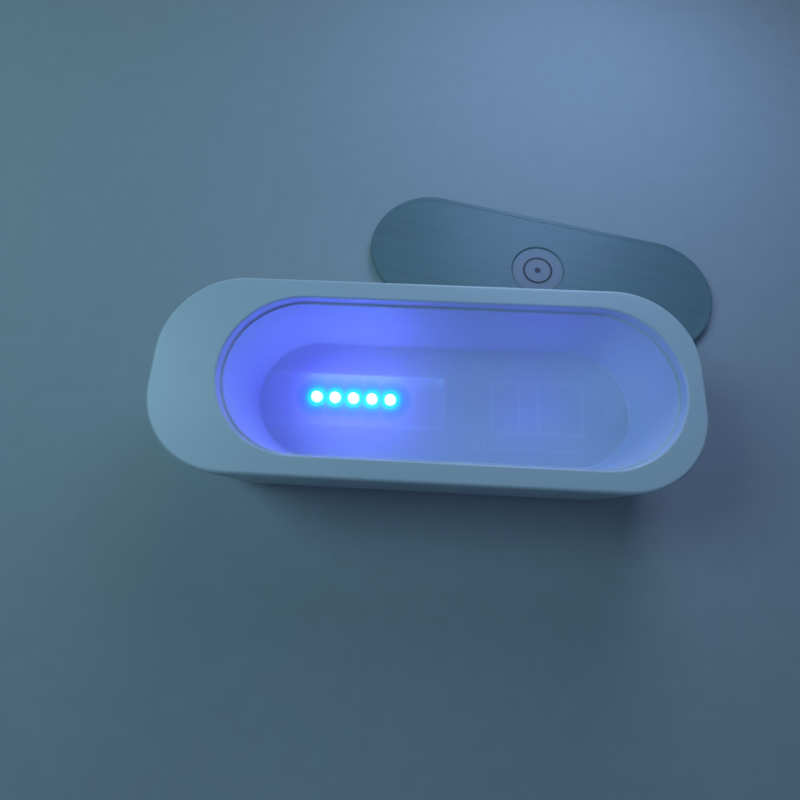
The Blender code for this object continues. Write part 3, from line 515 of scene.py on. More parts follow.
def housing_plastic(name, colour, lights):
    """White satin plastic that carries the glow of the LEDs on the tank floor."""
    material, nodes, links = start_material(name)

    place = nodes.new("ShaderNodeTexCoord")
    place.label = "Point on the moulding"
    parts = nodes.new("ShaderNodeSeparateXYZ")
    parts.label = "Along, across and up"
    links.new(place.outputs["Object"], parts.inputs["Vector"])
    flat = nodes.new("ShaderNodeCombineXYZ")
    flat.label = "Point in plan"
    links.new(parts.outputs["X"], flat.inputs["X"])
    links.new(parts.outputs["Y"], flat.inputs["Y"])

    # Tone: slow change of colour through the wall
    cloud = nodes.new("ShaderNodeTexNoise")
    cloud.label = "Uneven wall thickness"
    cloud.inputs["Scale"].default_value = 22.0
    cloud.inputs["Detail"].default_value = 3.0
    links.new(place.outputs["Object"], cloud.inputs["Vector"])
    tone = nodes.new("ShaderNodeMix")
    tone.label = "Slight change of white"
    tone.data_type = "RGBA"
    tone.inputs["A"].default_value = (*(0.955 * channel for channel in colour), 1.0)
    tone.inputs["B"].default_value = (*colour, 1.0)
    links.new(cloud.outputs["Fac"], tone.inputs["Factor"])

    # Grain: eroded mould surface outside
    grain = nodes.new("ShaderNodeTexNoise")
    grain.label = "Fine mould grain"
    grain.inputs["Scale"].default_value = 2600.0
    grain.inputs["Detail"].default_value = 2.0
    links.new(place.outputs["Object"], grain.inputs["Vector"])
    grain_bump = nodes.new("ShaderNodeBump")
    grain_bump.label = "Grain height"
    grain_bump.inputs["Strength"].default_value = 0.12
    grain_bump.inputs["Distance"].default_value = 0.03 * MM
    links.new(grain.outputs["Fac"], grain_bump.inputs["Height"])

    # Halo: light that spreads in the floor around each LED
    first = LED_MIDDLES[0]
    from_first = nodes.new("ShaderNodeMath")
    from_first.label = "Distance along the LED row"
    from_first.operation = "SUBTRACT"
    from_first.inputs[1].default_value = first.x
    links.new(parts.outputs["X"], from_first.inputs[0])
    in_pitches = nodes.new("ShaderNodeMath")
    in_pitches.label = "In LED pitches"
    in_pitches.operation = "DIVIDE"
    in_pitches.inputs[1].default_value = LED_PITCH
    links.new(from_first.outputs["Value"], in_pitches.inputs[0])
    nearest = nodes.new("ShaderNodeMath")
    nearest.label = "Nearest LED"
    nearest.operation = "ROUND"
    links.new(in_pitches.outputs["Value"], nearest.inputs[0])
    within_row = nodes.new("ShaderNodeClamp")
    within_row.label = "Within the row"
    within_row.inputs["Min"].default_value = 0.0
    within_row.inputs["Max"].default_value = len(LED_NAMES) - 1.0
    links.new(nearest.outputs["Value"], within_row.inputs["Value"])
    led_x = nodes.new("ShaderNodeMath")
    led_x.label = "Place of that LED"
    led_x.operation = "MULTIPLY_ADD"
    led_x.inputs[1].default_value = LED_PITCH
    led_x.inputs[2].default_value = first.x
    links.new(within_row.outputs["Result"], led_x.inputs[0])
    led_point = nodes.new("ShaderNodeCombineXYZ")
    led_point.label = "Centre of that LED"
    led_point.inputs["Y"].default_value = first.y
    links.new(led_x.outputs["Value"], led_point.inputs["X"])
    led_reach = nodes.new("ShaderNodeVectorMath")
    led_reach.label = "Distance from that LED"
    led_reach.operation = "DISTANCE"
    links.new(flat.outputs["Vector"], led_reach.inputs[0])
    links.new(led_point.outputs["Vector"], led_reach.inputs[1])
    halo_share = nodes.new("ShaderNodeMapRange")
    halo_share.label = "Share of the halo's reach"
    halo_share.inputs["From Min"].default_value = 0.0
    halo_share.inputs["From Max"].default_value = 14.0 * MM
    links.new(led_reach.outputs["Value"], halo_share.inputs["Value"])
    halo = nodes.new("ShaderNodeValToRGB")
    halo.label = "Halo, from cyan to violet"
    ramp = halo.color_ramp
    ramp.elements[0].position = 0.2
    ramp.elements[0].color = (0.8, 1.0, 1.0, 1.0)
    ramp.elements[1].position = 1.0
    ramp.elements[1].color = (0.0, 0.0, 0.0, 1.0)
    for at, level in ((0.235, 1.0), (0.32, 0.85), (0.42, 0.3), (0.55, 0.05)):
        ramp.elements.new(at).color = (*(level * channel for channel in lights.halo), 1.0)
    links.new(halo_share.outputs["Result"], halo.inputs["Fac"])

    cast = nodes.new("ShaderNodeMapRange")
    cast.label = "Cast of the light on the white"
    cast.inputs["From Min"].default_value = 0.85
    cast.inputs["From Max"].default_value = 0.3
    links.new(halo_share.outputs["Result"], cast.inputs["Value"])
    tinted = nodes.new("ShaderNodeMix")
    tinted.label = "White, cyan beside the LEDs"
    tinted.data_type = "RGBA"
    tinted.inputs["B"].default_value = (0.06, 0.5, 0.7, 1.0)
    links.new(cast.outputs["Result"], tinted.inputs["Factor"])
    links.new(tone.outputs["Result"], tinted.inputs["A"])

    # Bay: the lit box below the floor, brightest along its back rib and in the middle of its length
    bay_low, bay_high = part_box("led_board")
    along = nodes.new("ShaderNodeMapRange")
    along.label = "Share of the bay's length"
    along.inputs["From Min"].default_value = bay_low.x
    along.inputs["From Max"].default_value = bay_high.x + 4.0 * MM
    links.new(parts.outputs["X"], along.inputs["Value"])
    along_light = nodes.new("ShaderNodeValToRGB")
    along_light.label = "Light along the bay"
    ramp = along_light.color_ramp
    ramp.elements[0].color = (0.0, 0.0, 0.0, 1.0)
    ramp.elements[1].position = 0.985
    ramp.elements[1].color = (0.0, 0.0, 0.0, 1.0)
    for at, level in ((0.18, 0.15), (0.3, 0.9), (0.68, 0.8), (0.78, 0.3), (0.93, 0.18), (0.96, 0.4)):
        ramp.elements.new(at).color = (level, level, level, 1.0)
    links.new(along.outputs["Result"], along_light.inputs["Fac"])
    across = nodes.new("ShaderNodeMapRange")
    across.label = "Share of the bay's width"
    across.inputs["From Min"].default_value = bay_low.y - 4.0 * MM
    across.inputs["From Max"].default_value = bay_high.y + 4.0 * MM
    links.new(parts.outputs["Y"], across.inputs["Value"])
    across_light = nodes.new("ShaderNodeValToRGB")
    across_light.label = "Light across the bay"
    ramp = across_light.color_ramp
    ramp.elements[0].position = 0.05
    ramp.elements[0].color = (0.0, 0.0, 0.0, 1.0)
    ramp.elements[1].position = 0.945
    ramp.elements[1].color = (0.0, 0.0, 0.0, 1.0)
    for at, level in ((0.08, 0.2), (0.16, 0.04), (0.5, 0.06), (0.7, 0.2), (0.82, 0.75), (0.91, 1.0)):
        ramp.elements.new(at).color = (level, level, level, 1.0)
    links.new(across.outputs["Result"], across_light.inputs["Fac"])
    bay_level = nodes.new("ShaderNodeMath")
    bay_level.label = "Level of the bay's light"
    bay_level.operation = "MULTIPLY"
    links.new(along_light.outputs["Color"], bay_level.inputs[0])
    links.new(across_light.outputs["Color"], bay_level.inputs[1])
    bay_colour = nodes.new("ShaderNodeMix")
    bay_colour.label = "Bay light in pale blue"
    bay_colour.data_type = "RGBA"
    bay_colour.inputs["A"].default_value = (0.0, 0.0, 0.0, 1.0)
    bay_colour.inputs["B"].default_value = (0.1, 0.24, 0.6, 1.0)
    links.new(bay_level.outputs["Value"], bay_colour.inputs["Factor"])

    # Glow on the tank floor only
    floor_height = HOUSING_HIGH.z - bpy.context.scene.sanitizer_housing.tank_depth
    above = nodes.new("ShaderNodeMath")
    above.label = "Height from the tank floor"
    above.operation = "SUBTRACT"
    above.inputs[1].default_value = floor_height
    links.new(parts.outputs["Z"], above.inputs[0])
    above_size = nodes.new("ShaderNodeMath")
    above_size.label = "Above or below the floor"
    above_size.operation = "ABSOLUTE"
    links.new(above.outputs["Value"], above_size.inputs[0])
    on_floor = nodes.new("ShaderNodeMapRange")
    on_floor.label = "On the tank floor"
    on_floor.inputs["From Min"].default_value = 1.0 * MM
    on_floor.inputs["From Max"].default_value = 0.3 * MM
    links.new(above_size.outputs["Value"], on_floor.inputs["Value"])
    both = nodes.new("ShaderNodeMix")
    both.label = "Halo and bay together"
    both.data_type = "RGBA"
    both.blend_type = "ADD"
    both.inputs["Factor"].default_value = 1.0
    links.new(halo.outputs["Color"], both.inputs["A"])
    links.new(bay_colour.outputs["Result"], both.inputs["B"])
    glow = nodes.new("ShaderNodeMix")
    glow.label = "Glow of the floor"
    glow.data_type = "RGBA"
    glow.inputs["A"].default_value = (0.0, 0.0, 0.0, 1.0)
    links.new(on_floor.outputs["Result"], glow.inputs["Factor"])
    links.new(both.outputs["Result"], glow.inputs["B"])

    shader = nodes.new("ShaderNodeBsdfPrincipled")
    shader.label = "Satin white plastic"
    shader.inputs["Roughness"].default_value = 0.34
    shader.inputs["IOR"].default_value = 1.5
    shader.inputs["Subsurface Weight"].default_value = 0.25
    shader.inputs["Subsurface Radius"].default_value = (1.0, 1.0, 1.0)
    shader.inputs["Subsurface Scale"].default_value = 2.0 * MM
    shader.inputs["Emission Strength"].default_value = 0.9
    links.new(tinted.outputs["Result"], shader.inputs["Base Color"])
    links.new(grain_bump.outputs["Normal"], shader.inputs["Normal"])
    links.new(glow.outputs["Result"], shader.inputs["Emission Color"])
    output = nodes.new("ShaderNodeOutputMaterial")
    output.label = "Housing surface"
    links.new(shader.outputs["BSDF"], output.inputs["Surface"])

    groups = (
        ("White tone", (cloud, tone)),
        ("Mould grain", (grain, grain_bump)),
        ("Halo around the LEDs", (from_first, in_pitches, nearest, within_row, led_x, led_point, led_reach,
                                  halo_share, halo, cast, tinted)),
        ("Light of the LED bay", (along, along_light, across, across_light, bay_level, bay_colour)),
        ("Glow on the floor", (above, above_size, on_floor, both, glow)),
    )
    for label, members in groups:
        group = nodes.new("NodeFrame")
        group.label = label
        for node in members:
            node.parent = group
    spread(
        (place, parts, flat),
        (cloud, grain, from_first, in_pitches, nearest, within_row),
        (tone, grain_bump, led_x, led_point, led_reach, halo_share),
        (halo, cast, tinted, along, along_light, across, across_light),
        (bay_level, bay_colour, above, above_size),
        (on_floor, both, glow),
        (shader,),
        (output,),
    )
    return material


def moulded_plastic(name, colour, roughness, grain_scale=1500.0, grain_depth=0.03, depth_weight=0.0):
    """Plain moulded plastic or rubber with a fine grain and a slightly uneven gloss."""
    material, nodes, links = start_material(name)
    place = nodes.new("ShaderNodeTexCoord")
    place.label = "Point on the moulding"
    cloud = nodes.new("ShaderNodeTexNoise")
    cloud.label = "Flow of the melt"
    cloud.inputs["Scale"].default_value = 90.0
    cloud.inputs["Detail"].default_value = 3.0
    tone = nodes.new("ShaderNodeMix")
    tone.label = "Slight change of colour"
    tone.data_type = "RGBA"
    tone.inputs["A"].default_value = (*(0.88 * channel for channel in colour), 1.0)
    tone.inputs["B"].default_value = (*colour, 1.0)
    gloss = nodes.new("ShaderNodeMapRange")
    gloss.label = "Uneven gloss"
    gloss.inputs["To Min"].default_value = roughness - 0.05
    gloss.inputs["To Max"].default_value = roughness + 0.06
    grain = nodes.new("ShaderNodeTexNoise")
    grain.label = "Mould grain"
    grain.inputs["Scale"].default_value = grain_scale
    grain.inputs["Detail"].default_value = 2.0
    bump = nodes.new("ShaderNodeBump")
    bump.label = "Height of the grain"
    bump.inputs["Strength"].default_value = 0.3
    bump.inputs["Distance"].default_value = grain_depth * MM
    shader = nodes.new("ShaderNodeBsdfPrincipled")
    shader.label = "Moulded surface"
    shader.inputs["Subsurface Weight"].default_value = depth_weight
    shader.inputs["Subsurface Scale"].default_value = 1.5 * MM
    output = nodes.new("ShaderNodeOutputMaterial")
    output.label = "Surface"
    links.new(place.outputs["Object"], cloud.inputs["Vector"])
    links.new(place.outputs["Object"], grain.inputs["Vector"])
    links.new(cloud.outputs["Fac"], tone.inputs["Factor"])
    links.new(cloud.outputs["Fac"], gloss.inputs["Value"])
    links.new(grain.outputs["Fac"], bump.inputs["Height"])
    links.new(tone.outputs["Result"], shader.inputs["Base Color"])
    links.new(gloss.outputs["Result"], shader.inputs["Roughness"])
    links.new(bump.outputs["Normal"], shader.inputs["Normal"])
    links.new(shader.outputs["BSDF"], output.inputs["Surface"])
    for label, members in (("Colour and gloss", (cloud, tone, gloss)), ("Grain", (grain, bump))):
        group = nodes.new("NodeFrame")
        group.label = label
        for node in members:
            node.parent = group
    spread((place,), (cloud, grain), (tone, gloss, bump), (shader,), (output,))
    return material


def plated_metal(name, colour, roughness, scratch_axis):
    """Plated or drawn metal with fine lines along one axis and a little tarnish."""
    material, nodes, links = start_material(name)
    place = nodes.new("ShaderNodeTexCoord")
    place.label = "Point on the metal"
    stretch = nodes.new("ShaderNodeMapping")
    stretch.label = "Lines drawn along the part"
    stretch.inputs["Scale"].default_value = [0.04 if axis == scratch_axis else 1.0 for axis in "XYZ"]
    lines = nodes.new("ShaderNodeTexNoise")
    lines.label = "Drawing lines"
    lines.inputs["Scale"].default_value = 5200.0
    lines.inputs["Detail"].default_value = 3.0
    bump = nodes.new("ShaderNodeBump")
    bump.label = "Depth of the lines"
    bump.inputs["Strength"].default_value = 0.25
    bump.inputs["Distance"].default_value = 0.01 * MM
    tarnish = nodes.new("ShaderNodeTexNoise")
    tarnish.label = "Tarnish"
    tarnish.inputs["Scale"].default_value = 420.0
    tarnish.inputs["Detail"].default_value = 4.0
    tone = nodes.new("ShaderNodeMix")
    tone.label = "Metal with tarnish"
    tone.data_type = "RGBA"
    tone.inputs["A"].default_value = (*(0.72 * channel for channel in colour), 1.0)
    tone.inputs["B"].default_value = (*colour, 1.0)
    gloss = nodes.new("ShaderNodeMapRange")
    gloss.label = "Gloss"
    gloss.inputs["To Min"].default_value = roughness + 0.14
    gloss.inputs["To Max"].default_value = roughness - 0.05
    shader = nodes.new("ShaderNodeBsdfPrincipled")
    shader.label = "Metal surface"
    shader.inputs["Metallic"].default_value = 1.0
    output = nodes.new("ShaderNodeOutputMaterial")
    output.label = "Surface"
    links.new(place.outputs["Object"], stretch.inputs["Vector"])
    links.new(stretch.outputs["Vector"], lines.inputs["Vector"])
    links.new(place.outputs["Object"], tarnish.inputs["Vector"])
    links.new(lines.outputs["Fac"], bump.inputs["Height"])
    links.new(tarnish.outputs["Fac"], tone.inputs["Factor"])
    links.new(tarnish.outputs["Fac"], gloss.inputs["Value"])
    links.new(tone.outputs["Result"], shader.inputs["Base Color"])
    links.new(gloss.outputs["Result"], shader.inputs["Roughness"])
    links.new(bump.outputs["Normal"], shader.inputs["Normal"])
    links.new(shader.outputs["BSDF"], output.inputs["Surface"])
    for label, members in (("Drawing lines", (stretch, lines, bump)), ("Tarnish", (tarnish, tone, gloss))):
        group = nodes.new("NodeFrame")
        group.label = label
        for node in members:
            node.parent = group
    spread((place,), (stretch, tarnish), (lines, tone, gloss), (bump,), (shader,), (output,))
    return material


def solder_mask(name, colour, flat_axes):
    """Green solder mask over laminate, with long narrow copper tracks that stand up a little."""
    material, nodes, links = start_material(name)
    place = nodes.new("ShaderNodeTexCoord")
    place.label = "Point on the board"
    parts = nodes.new("ShaderNodeSeparateXYZ")
    parts.label = "Along and across the board"
    plan = nodes.new("ShaderNodeCombineXYZ")
    plan.label = "Plan of the board"
    tracks = nodes.new("ShaderNodeTexBrick")
    tracks.label = "Copper tracks below the mask"
    tracks.offset = 0.37
    tracks.inputs["Color1"].default_value = (0.0, 0.0, 0.0, 1.0)
    tracks.inputs["Color2"].default_value = (0.0, 0.0, 0.0, 1.0)
    tracks.inputs["Mortar"].default_value = (1.0, 1.0, 1.0, 1.0)
    tracks.inputs["Scale"].default_value = 110.0
    tracks.inputs["Mortar Size"].default_value = 0.045
    tracks.inputs["Mortar Smooth"].default_value = 0.15
    tracks.inputs["Brick Width"].default_value = 2.3
    tracks.inputs["Row Height"].default_value = 0.13
    tone = nodes.new("ShaderNodeMix")
    tone.label = "Mask over copper or over laminate"
    tone.data_type = "RGBA"
    tone.inputs["A"].default_value = (*colour, 1.0)
    tone.inputs["B"].default_value = (*(1.3 * channel for channel in colour), 1.0)
    bump = nodes.new("ShaderNodeBump")
    bump.label = "Height of the tracks"
    bump.inputs["Strength"].default_value = 0.5
    bump.inputs["Distance"].default_value = 0.035 * MM
    weave = nodes.new("ShaderNodeTexNoise")
    weave.label = "Glass weave"
    weave.inputs["Scale"].default_value = 1400.0
    gloss = nodes.new("ShaderNodeMapRange")
    gloss.label = "Gloss of the mask"
    gloss.inputs["To Min"].default_value = 0.26
    gloss.inputs["To Max"].default_value = 0.4
    shader = nodes.new("ShaderNodeBsdfPrincipled")
    shader.label = "Board surface"
    shader.inputs["Coat Weight"].default_value = 0.25
    shader.inputs["Coat Roughness"].default_value = 0.15
    output = nodes.new("ShaderNodeOutputMaterial")
    output.label = "Surface"
    links.new(place.outputs["Object"], parts.inputs["Vector"])
    links.new(parts.outputs[flat_axes[0]], plan.inputs["X"])
    links.new(parts.outputs[flat_axes[1]], plan.inputs["Y"])
    links.new(plan.outputs["Vector"], tracks.inputs["Vector"])
    links.new(place.outputs["Object"], weave.inputs["Vector"])
    links.new(tracks.outputs["Color"], tone.inputs["Factor"])
    links.new(tracks.outputs["Color"], bump.inputs["Height"])
    links.new(weave.outputs["Fac"], gloss.inputs["Value"])
    links.new(tone.outputs["Result"], shader.inputs["Base Color"])
    links.new(gloss.outputs["Result"], shader.inputs["Roughness"])
    links.new(bump.outputs["Normal"], shader.inputs["Normal"])
    links.new(shader.outputs["BSDF"], output.inputs["Surface"])
    for label, members in (("Tracks", (parts, plan, tracks, tone, bump)), ("Gloss", (weave, gloss))):
        group = nodes.new("NodeFrame")
        group.label = label
        for node in members:
            node.parent = group
    spread((place,), (parts, weave), (plan, gloss), (tracks,), (tone, bump), (shader,), (output,))
    return material


def frosted_plastic(colour, turn):
    """Grey frosted plastic that lets a little light through, with long faint streaks."""
    material, nodes, links = start_material("frosted_grey_plastic")
    place = nodes.new("ShaderNodeTexCoord")
    place.label = "Point on the lid"
    along = nodes.new("ShaderNodeMapping")
    along.label = "Streaks run along the lid"
    along.vector_type = "TEXTURE"
    along.inputs["Rotation"].default_value = (0.0, 0.0, turn)
    along.inputs["Scale"].default_value = (22.0, 1.0, 1.0)
    streaks = nodes.new("ShaderNodeTexNoise")
    streaks.label = "Long streaks"
    streaks.inputs["Scale"].default_value = 260.0
    streaks.inputs["Detail"].default_value = 3.0
    tone = nodes.new("ShaderNodeMix")
    tone.label = "Grey with streaks"
    tone.data_type = "RGBA"
    tone.inputs["A"].default_value = (*(0.86 * channel for channel in colour), 1.0)
    tone.inputs["B"].default_value = (*(1.12 * channel for channel in colour), 1.0)
    frost = nodes.new("ShaderNodeTexNoise")
    frost.label = "Frosting"
    frost.inputs["Scale"].default_value = 3000.0
    frost.inputs["Detail"].default_value = 2.0
    frost_bump = nodes.new("ShaderNodeBump")
    frost_bump.label = "Depth of the frosting"
    frost_bump.inputs["Strength"].default_value = 0.2
    frost_bump.inputs["Distance"].default_value = 0.02 * MM
    streak_bump = nodes.new("ShaderNodeBump")
    streak_bump.label = "Depth of the streaks"
    streak_bump.inputs["Strength"].default_value = 0.1
    streak_bump.inputs["Distance"].default_value = 0.05 * MM
    gloss = nodes.new("ShaderNodeMapRange")
    gloss.label = "Gloss between the streaks"
    gloss.inputs["To Min"].default_value = 0.3
    gloss.inputs["To Max"].default_value = 0.46
    shader = nodes.new("ShaderNodeBsdfPrincipled")
    shader.label = "Frosted plastic"
    shader.inputs["Transmission Weight"].default_value = 0.12
    shader.inputs["IOR"].default_value = 1.49
    shader.inputs["Subsurface Weight"].default_value = 0.15
    shader.inputs["Subsurface Scale"].default_value = 2.0 * MM
    output = nodes.new("ShaderNodeOutputMaterial")
    output.label = "Lid surface"
    links.new(place.outputs["Object"], along.inputs["Vector"])
    links.new(along.outputs["Vector"], streaks.inputs["Vector"])
    links.new(place.outputs["Object"], frost.inputs["Vector"])
    links.new(streaks.outputs["Fac"], tone.inputs["Factor"])
    links.new(streaks.outputs["Fac"], gloss.inputs["Value"])
    links.new(streaks.outputs["Fac"], streak_bump.inputs["Height"])
    links.new(frost.outputs["Fac"], frost_bump.inputs["Height"])
    links.new(frost_bump.outputs["Normal"], streak_bump.inputs["Normal"])
    links.new(tone.outputs["Result"], shader.inputs["Base Color"])
    links.new(gloss.outputs["Result"], shader.inputs["Roughness"])
    links.new(streak_bump.outputs["Normal"], shader.inputs["Normal"])
    links.new(shader.outputs["BSDF"], output.inputs["Surface"])
    for label, members in (
        ("Streaks", (along, streaks, tone, gloss, streak_bump)),
        ("Frosting", (frost, frost_bump)),
    ):
        group = nodes.new("NodeFrame")
        group.label = label
        for node in members:
            node.parent = group
    spread((place,), (along, frost), (streaks, frost_bump), (tone, gloss, streak_bump), (shader,), (output,))
    return material


def lit_epoxy(lights):
    """Clear LED epoxy, white-hot in the middle of the dome and cyan towards its edge."""
    material, nodes, links = start_material("lit_led_epoxy")
    first = LED_MIDDLES[0]
    place = nodes.new("ShaderNodeTexCoord")
    place.label = "Point on an LED"
    parts = nodes.new("ShaderNodeSeparateXYZ")
    parts.label = "Along, across and up"
    from_first = nodes.new("ShaderNodeMath")
    from_first.label = "Distance from the first LED"
    from_first.operation = "SUBTRACT"
    from_first.inputs[1].default_value = first.x - 0.5 * LED_PITCH
    wrapped = nodes.new("ShaderNodeMath")
    wrapped.label = "Within one LED's pitch"
    wrapped.operation = "FLOORED_MODULO"
    wrapped.inputs[1].default_value = LED_PITCH
    across = nodes.new("ShaderNodeCombineXYZ")
    across.label = "Point in plan"
    radius = nodes.new("ShaderNodeVectorMath")
    radius.label = "Distance from the LED's axis"
    radius.operation = "DISTANCE"
    radius.inputs[1].default_value = (0.5 * LED_PITCH, first.y, 0.0)
    share = nodes.new("ShaderNodeMapRange")
    share.label = "Share of the dome's radius"
    share.inputs["From Max"].default_value = 2.9 * MM
    core = nodes.new("ShaderNodeValToRGB")
    core.label = "White core, cyan edge"
    core.color_ramp.elements[0].position = 0.72
    core.color_ramp.elements[0].color = (*(1.05 * channel for channel in lights.core), 1.0)
    core.color_ramp.elements[1].position = 0.93
    core.color_ramp.elements[1].color = (*(1.4 * channel for channel in lights.halo), 1.0)
    shader = nodes.new("ShaderNodeBsdfPrincipled")
    shader.label = "Clear epoxy"
    shader.inputs["Base Color"].default_value = (0.85, 0.9, 1.0, 1.0)
    shader.inputs["Roughness"].default_value = 0.06
    shader.inputs["IOR"].default_value = 1.54
    shader.inputs["Transmission Weight"].default_value = 0.6
    shader.inputs["Emission Strength"].default_value = 1.0
    output = nodes.new("ShaderNodeOutputMaterial")
    output.label = "LED surface"
    links.new(place.outputs["Object"], parts.inputs["Vector"])
    links.new(parts.outputs["X"], from_first.inputs[0])
    links.new(from_first.outputs["Value"], wrapped.inputs[0])
    links.new(wrapped.outputs["Value"], across.inputs["X"])
    links.new(parts.outputs["Y"], across.inputs["Y"])
    links.new(across.outputs["Vector"], radius.inputs[0])
    links.new(radius.outputs["Value"], share.inputs["Value"])
    links.new(share.outputs["Result"], core.inputs["Fac"])
    links.new(core.outputs["Color"], shader.inputs["Emission Color"])
    links.new(shader.outputs["BSDF"], output.inputs["Surface"])
    group = nodes.new("NodeFrame")
    group.label = "Light across the dome"
    for node in (parts, from_first, wrapped, across, radius, share, core):
        node.parent = group
    spread((place,), (parts, from_first, wrapped), (across, radius), (share, core), (shader,), (output,))
    return material


def crinkled_foil():
    """Silver pouch foil of the cell, slightly crinkled."""
    material, nodes, links = start_material("pouch_foil")
    place = nodes.new("ShaderNodeTexCoord")
    place.label = "Point on the pouch"
    crinkle = nodes.new("ShaderNodeTexVoronoi")
    crinkle.label = "Crinkles"
    crinkle.feature = "SMOOTH_F1"
    crinkle.inputs["Scale"].default_value = 210.0
    crinkle_bump = nodes.new("ShaderNodeBump")
    crinkle_bump.label = "Depth of the crinkles"
    crinkle_bump.inputs["Strength"].default_value = 0.35
    crinkle_bump.inputs["Distance"].default_value = 0.08 * MM
    smear = nodes.new("ShaderNodeTexNoise")
    smear.label = "Handling marks"
    smear.inputs["Scale"].default_value = 160.0
    smear.inputs["Detail"].default_value = 4.0
    gloss = nodes.new("ShaderNodeMapRange")
    gloss.label = "Gloss"
    gloss.inputs["To Min"].default_value = 0.24
    gloss.inputs["To Max"].default_value = 0.45
    shader = nodes.new("ShaderNodeBsdfPrincipled")
    shader.label = "Aluminium pouch foil"
    shader.inputs["Base Color"].default_value = (0.66, 0.68, 0.7, 1.0)
    shader.inputs["Metallic"].default_value = 0.85
    output = nodes.new("ShaderNodeOutputMaterial")
    output.label = "Cell surface"
    links.new(place.outputs["Object"], crinkle.inputs["Vector"])
    links.new(place.outputs["Object"], smear.inputs["Vector"])
    links.new(crinkle.outputs["Distance"], crinkle_bump.inputs["Height"])
    links.new(smear.outputs["Fac"], gloss.inputs["Value"])
    links.new(gloss.outputs["Result"], shader.inputs["Roughness"])
    links.new(crinkle_bump.outputs["Normal"], shader.inputs["Normal"])
    links.new(shader.outputs["BSDF"], output.inputs["Surface"])
    for label, members in (("Crinkles", (crinkle, crinkle_bump)), ("Gloss", (smear, gloss))):
        group = nodes.new("NodeFrame")
        group.label = label
        for node in members:
            node.parent = group
    spread((place,), (crinkle, smear), (crinkle_bump, gloss), (shader,), (output,))
    return material


# Housing

def body_outline(settings, inset):
    """Outer outline of the housing, moved inwards by inset."""
    low, high = HOUSING_LOW, HOUSING_HIGH
    return rounded_outline(
        low.x + inset,
        high.x - inset,
        0.5 * (high.y - low.y) - inset,
        settings.left_corner - inset,
        settings.right_corner - inset,
        TANK_Y,
    )


def mouth_outline(settings, inset, middle=None, steps=CORNER_STEPS):
    """Outline of the tank's mouth, moved inwards by inset; a lid's outline has its own middle."""
    low, high = HOUSING_LOW, HOUSING_HIGH
    left = low.x + settings.shoulder
    right = high.x - settings.end_rim
    half_width = 0.5 * (high.y - low.y) - settings.side_rim - inset
    shift_x, middle_y = 0.0, TANK_Y
    if middle is not None:
        shift_x, middle_y = middle.x - 0.5 * (left + right), middle.y
    return rounded_outline(
        left + inset + shift_x,
        right - inset + shift_x,
        half_width,
        half_width,
        half_width,
        middle_y,
        steps,
    )


def housing_block(settings):
    """The moulding's walls as one closed skin, from the tank floor over the rim and under the floor."""
    top = HOUSING_HIGH.z
    bottom = HOUSING_LOW.z
    floor = top - settings.tank_depth
    ledge = top - settings.ledge_depth
    wall_start = settings.ledge_width + settings.tank_taper
    under_top = top - settings.wall
    under_floor = floor - settings.tank_wall
    collar = ledge - settings.tank_wall
    inner_skirt = settings.wall + settings.skirt_taper
    flat = 7.0 * MM
    shared = 3.4 * MM
    inside = softened([
        (wall_start + flat, floor),
        (wall_start, floor, settings.floor_fillet),
        (settings.ledge_width, ledge, 0.3 * MM),
        (0.0, ledge, 0.25 * MM),
        (0.0, top, settings.mouth_edge),
        (-shared, top),
    ])
    outside = softened([
        (shared, top),
        (0.0, top, settings.rim_edge),
        (settings.skirt_taper, bottom, 0.5 * MM),
        (inner_skirt, bottom, 0.5 * MM),
        (settings.wall, under_top, 1.0 * MM),
        (shared + 0.4 * MM, under_top),
    ])
    below = softened([
        (-shared, under_top),
        (-settings.tank_wall, under_top, 0.6 * MM),
        (-settings.tank_wall, collar, 0.5 * MM),
        (settings.ledge_width - settings.tank_wall, collar - settings.ledge_width, 0.5 * MM),
        (wall_start - settings.tank_wall, under_floor, 1.5 * MM),
        (wall_start + flat, under_floor),
    ])
    rings = [(mouth_outline(settings, inset), height) for inset, height in inside]
    rings += [(body_outline(settings, inset), height) for inset, height in outside]
    rings += [(mouth_outline(settings, inset), height) for inset, height in below]
    mesh = bmesh.new()
    add_loft(mesh, rings)
    return new_object(mesh, "housing_shell")


def housing_supports(settings):
    """Bosses below the tank floor and on the left end wall, and the heights of the ribs."""
    under_floor = HOUSING_HIGH.z - settings.tank_depth - settings.tank_wall
    rib_top = under_floor + 0.5 * MM
    rib_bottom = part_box("base_cover")[0].z + 2.5 * MM
    boss_radius = 3.5 * MM
    tank_left = HOUSING_LOW.x + settings.shoulder
    bosses = bmesh.new()
    for boss in BOSS_MIDDLES:
        top = rib_top if boss.x > tank_left else HOUSING_HIGH.z - 0.5 * settings.wall
        add_rod(bosses, (boss.x, boss.y), boss_radius, rib_bottom, top)
    start = HOUSING_LOW.x + 0.5 * settings.wall + 1.0 * MM
    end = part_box("control_board")[0].x - 0.3 * MM
    for name in CONTROL_SCREW_NAMES:
        screw = middle_of(name)
        add_cross_rod(bosses, start, end, screw.y, screw.z, 2.6 * MM)
    return new_object(bosses, "bosses"), rib_top, rib_bottom


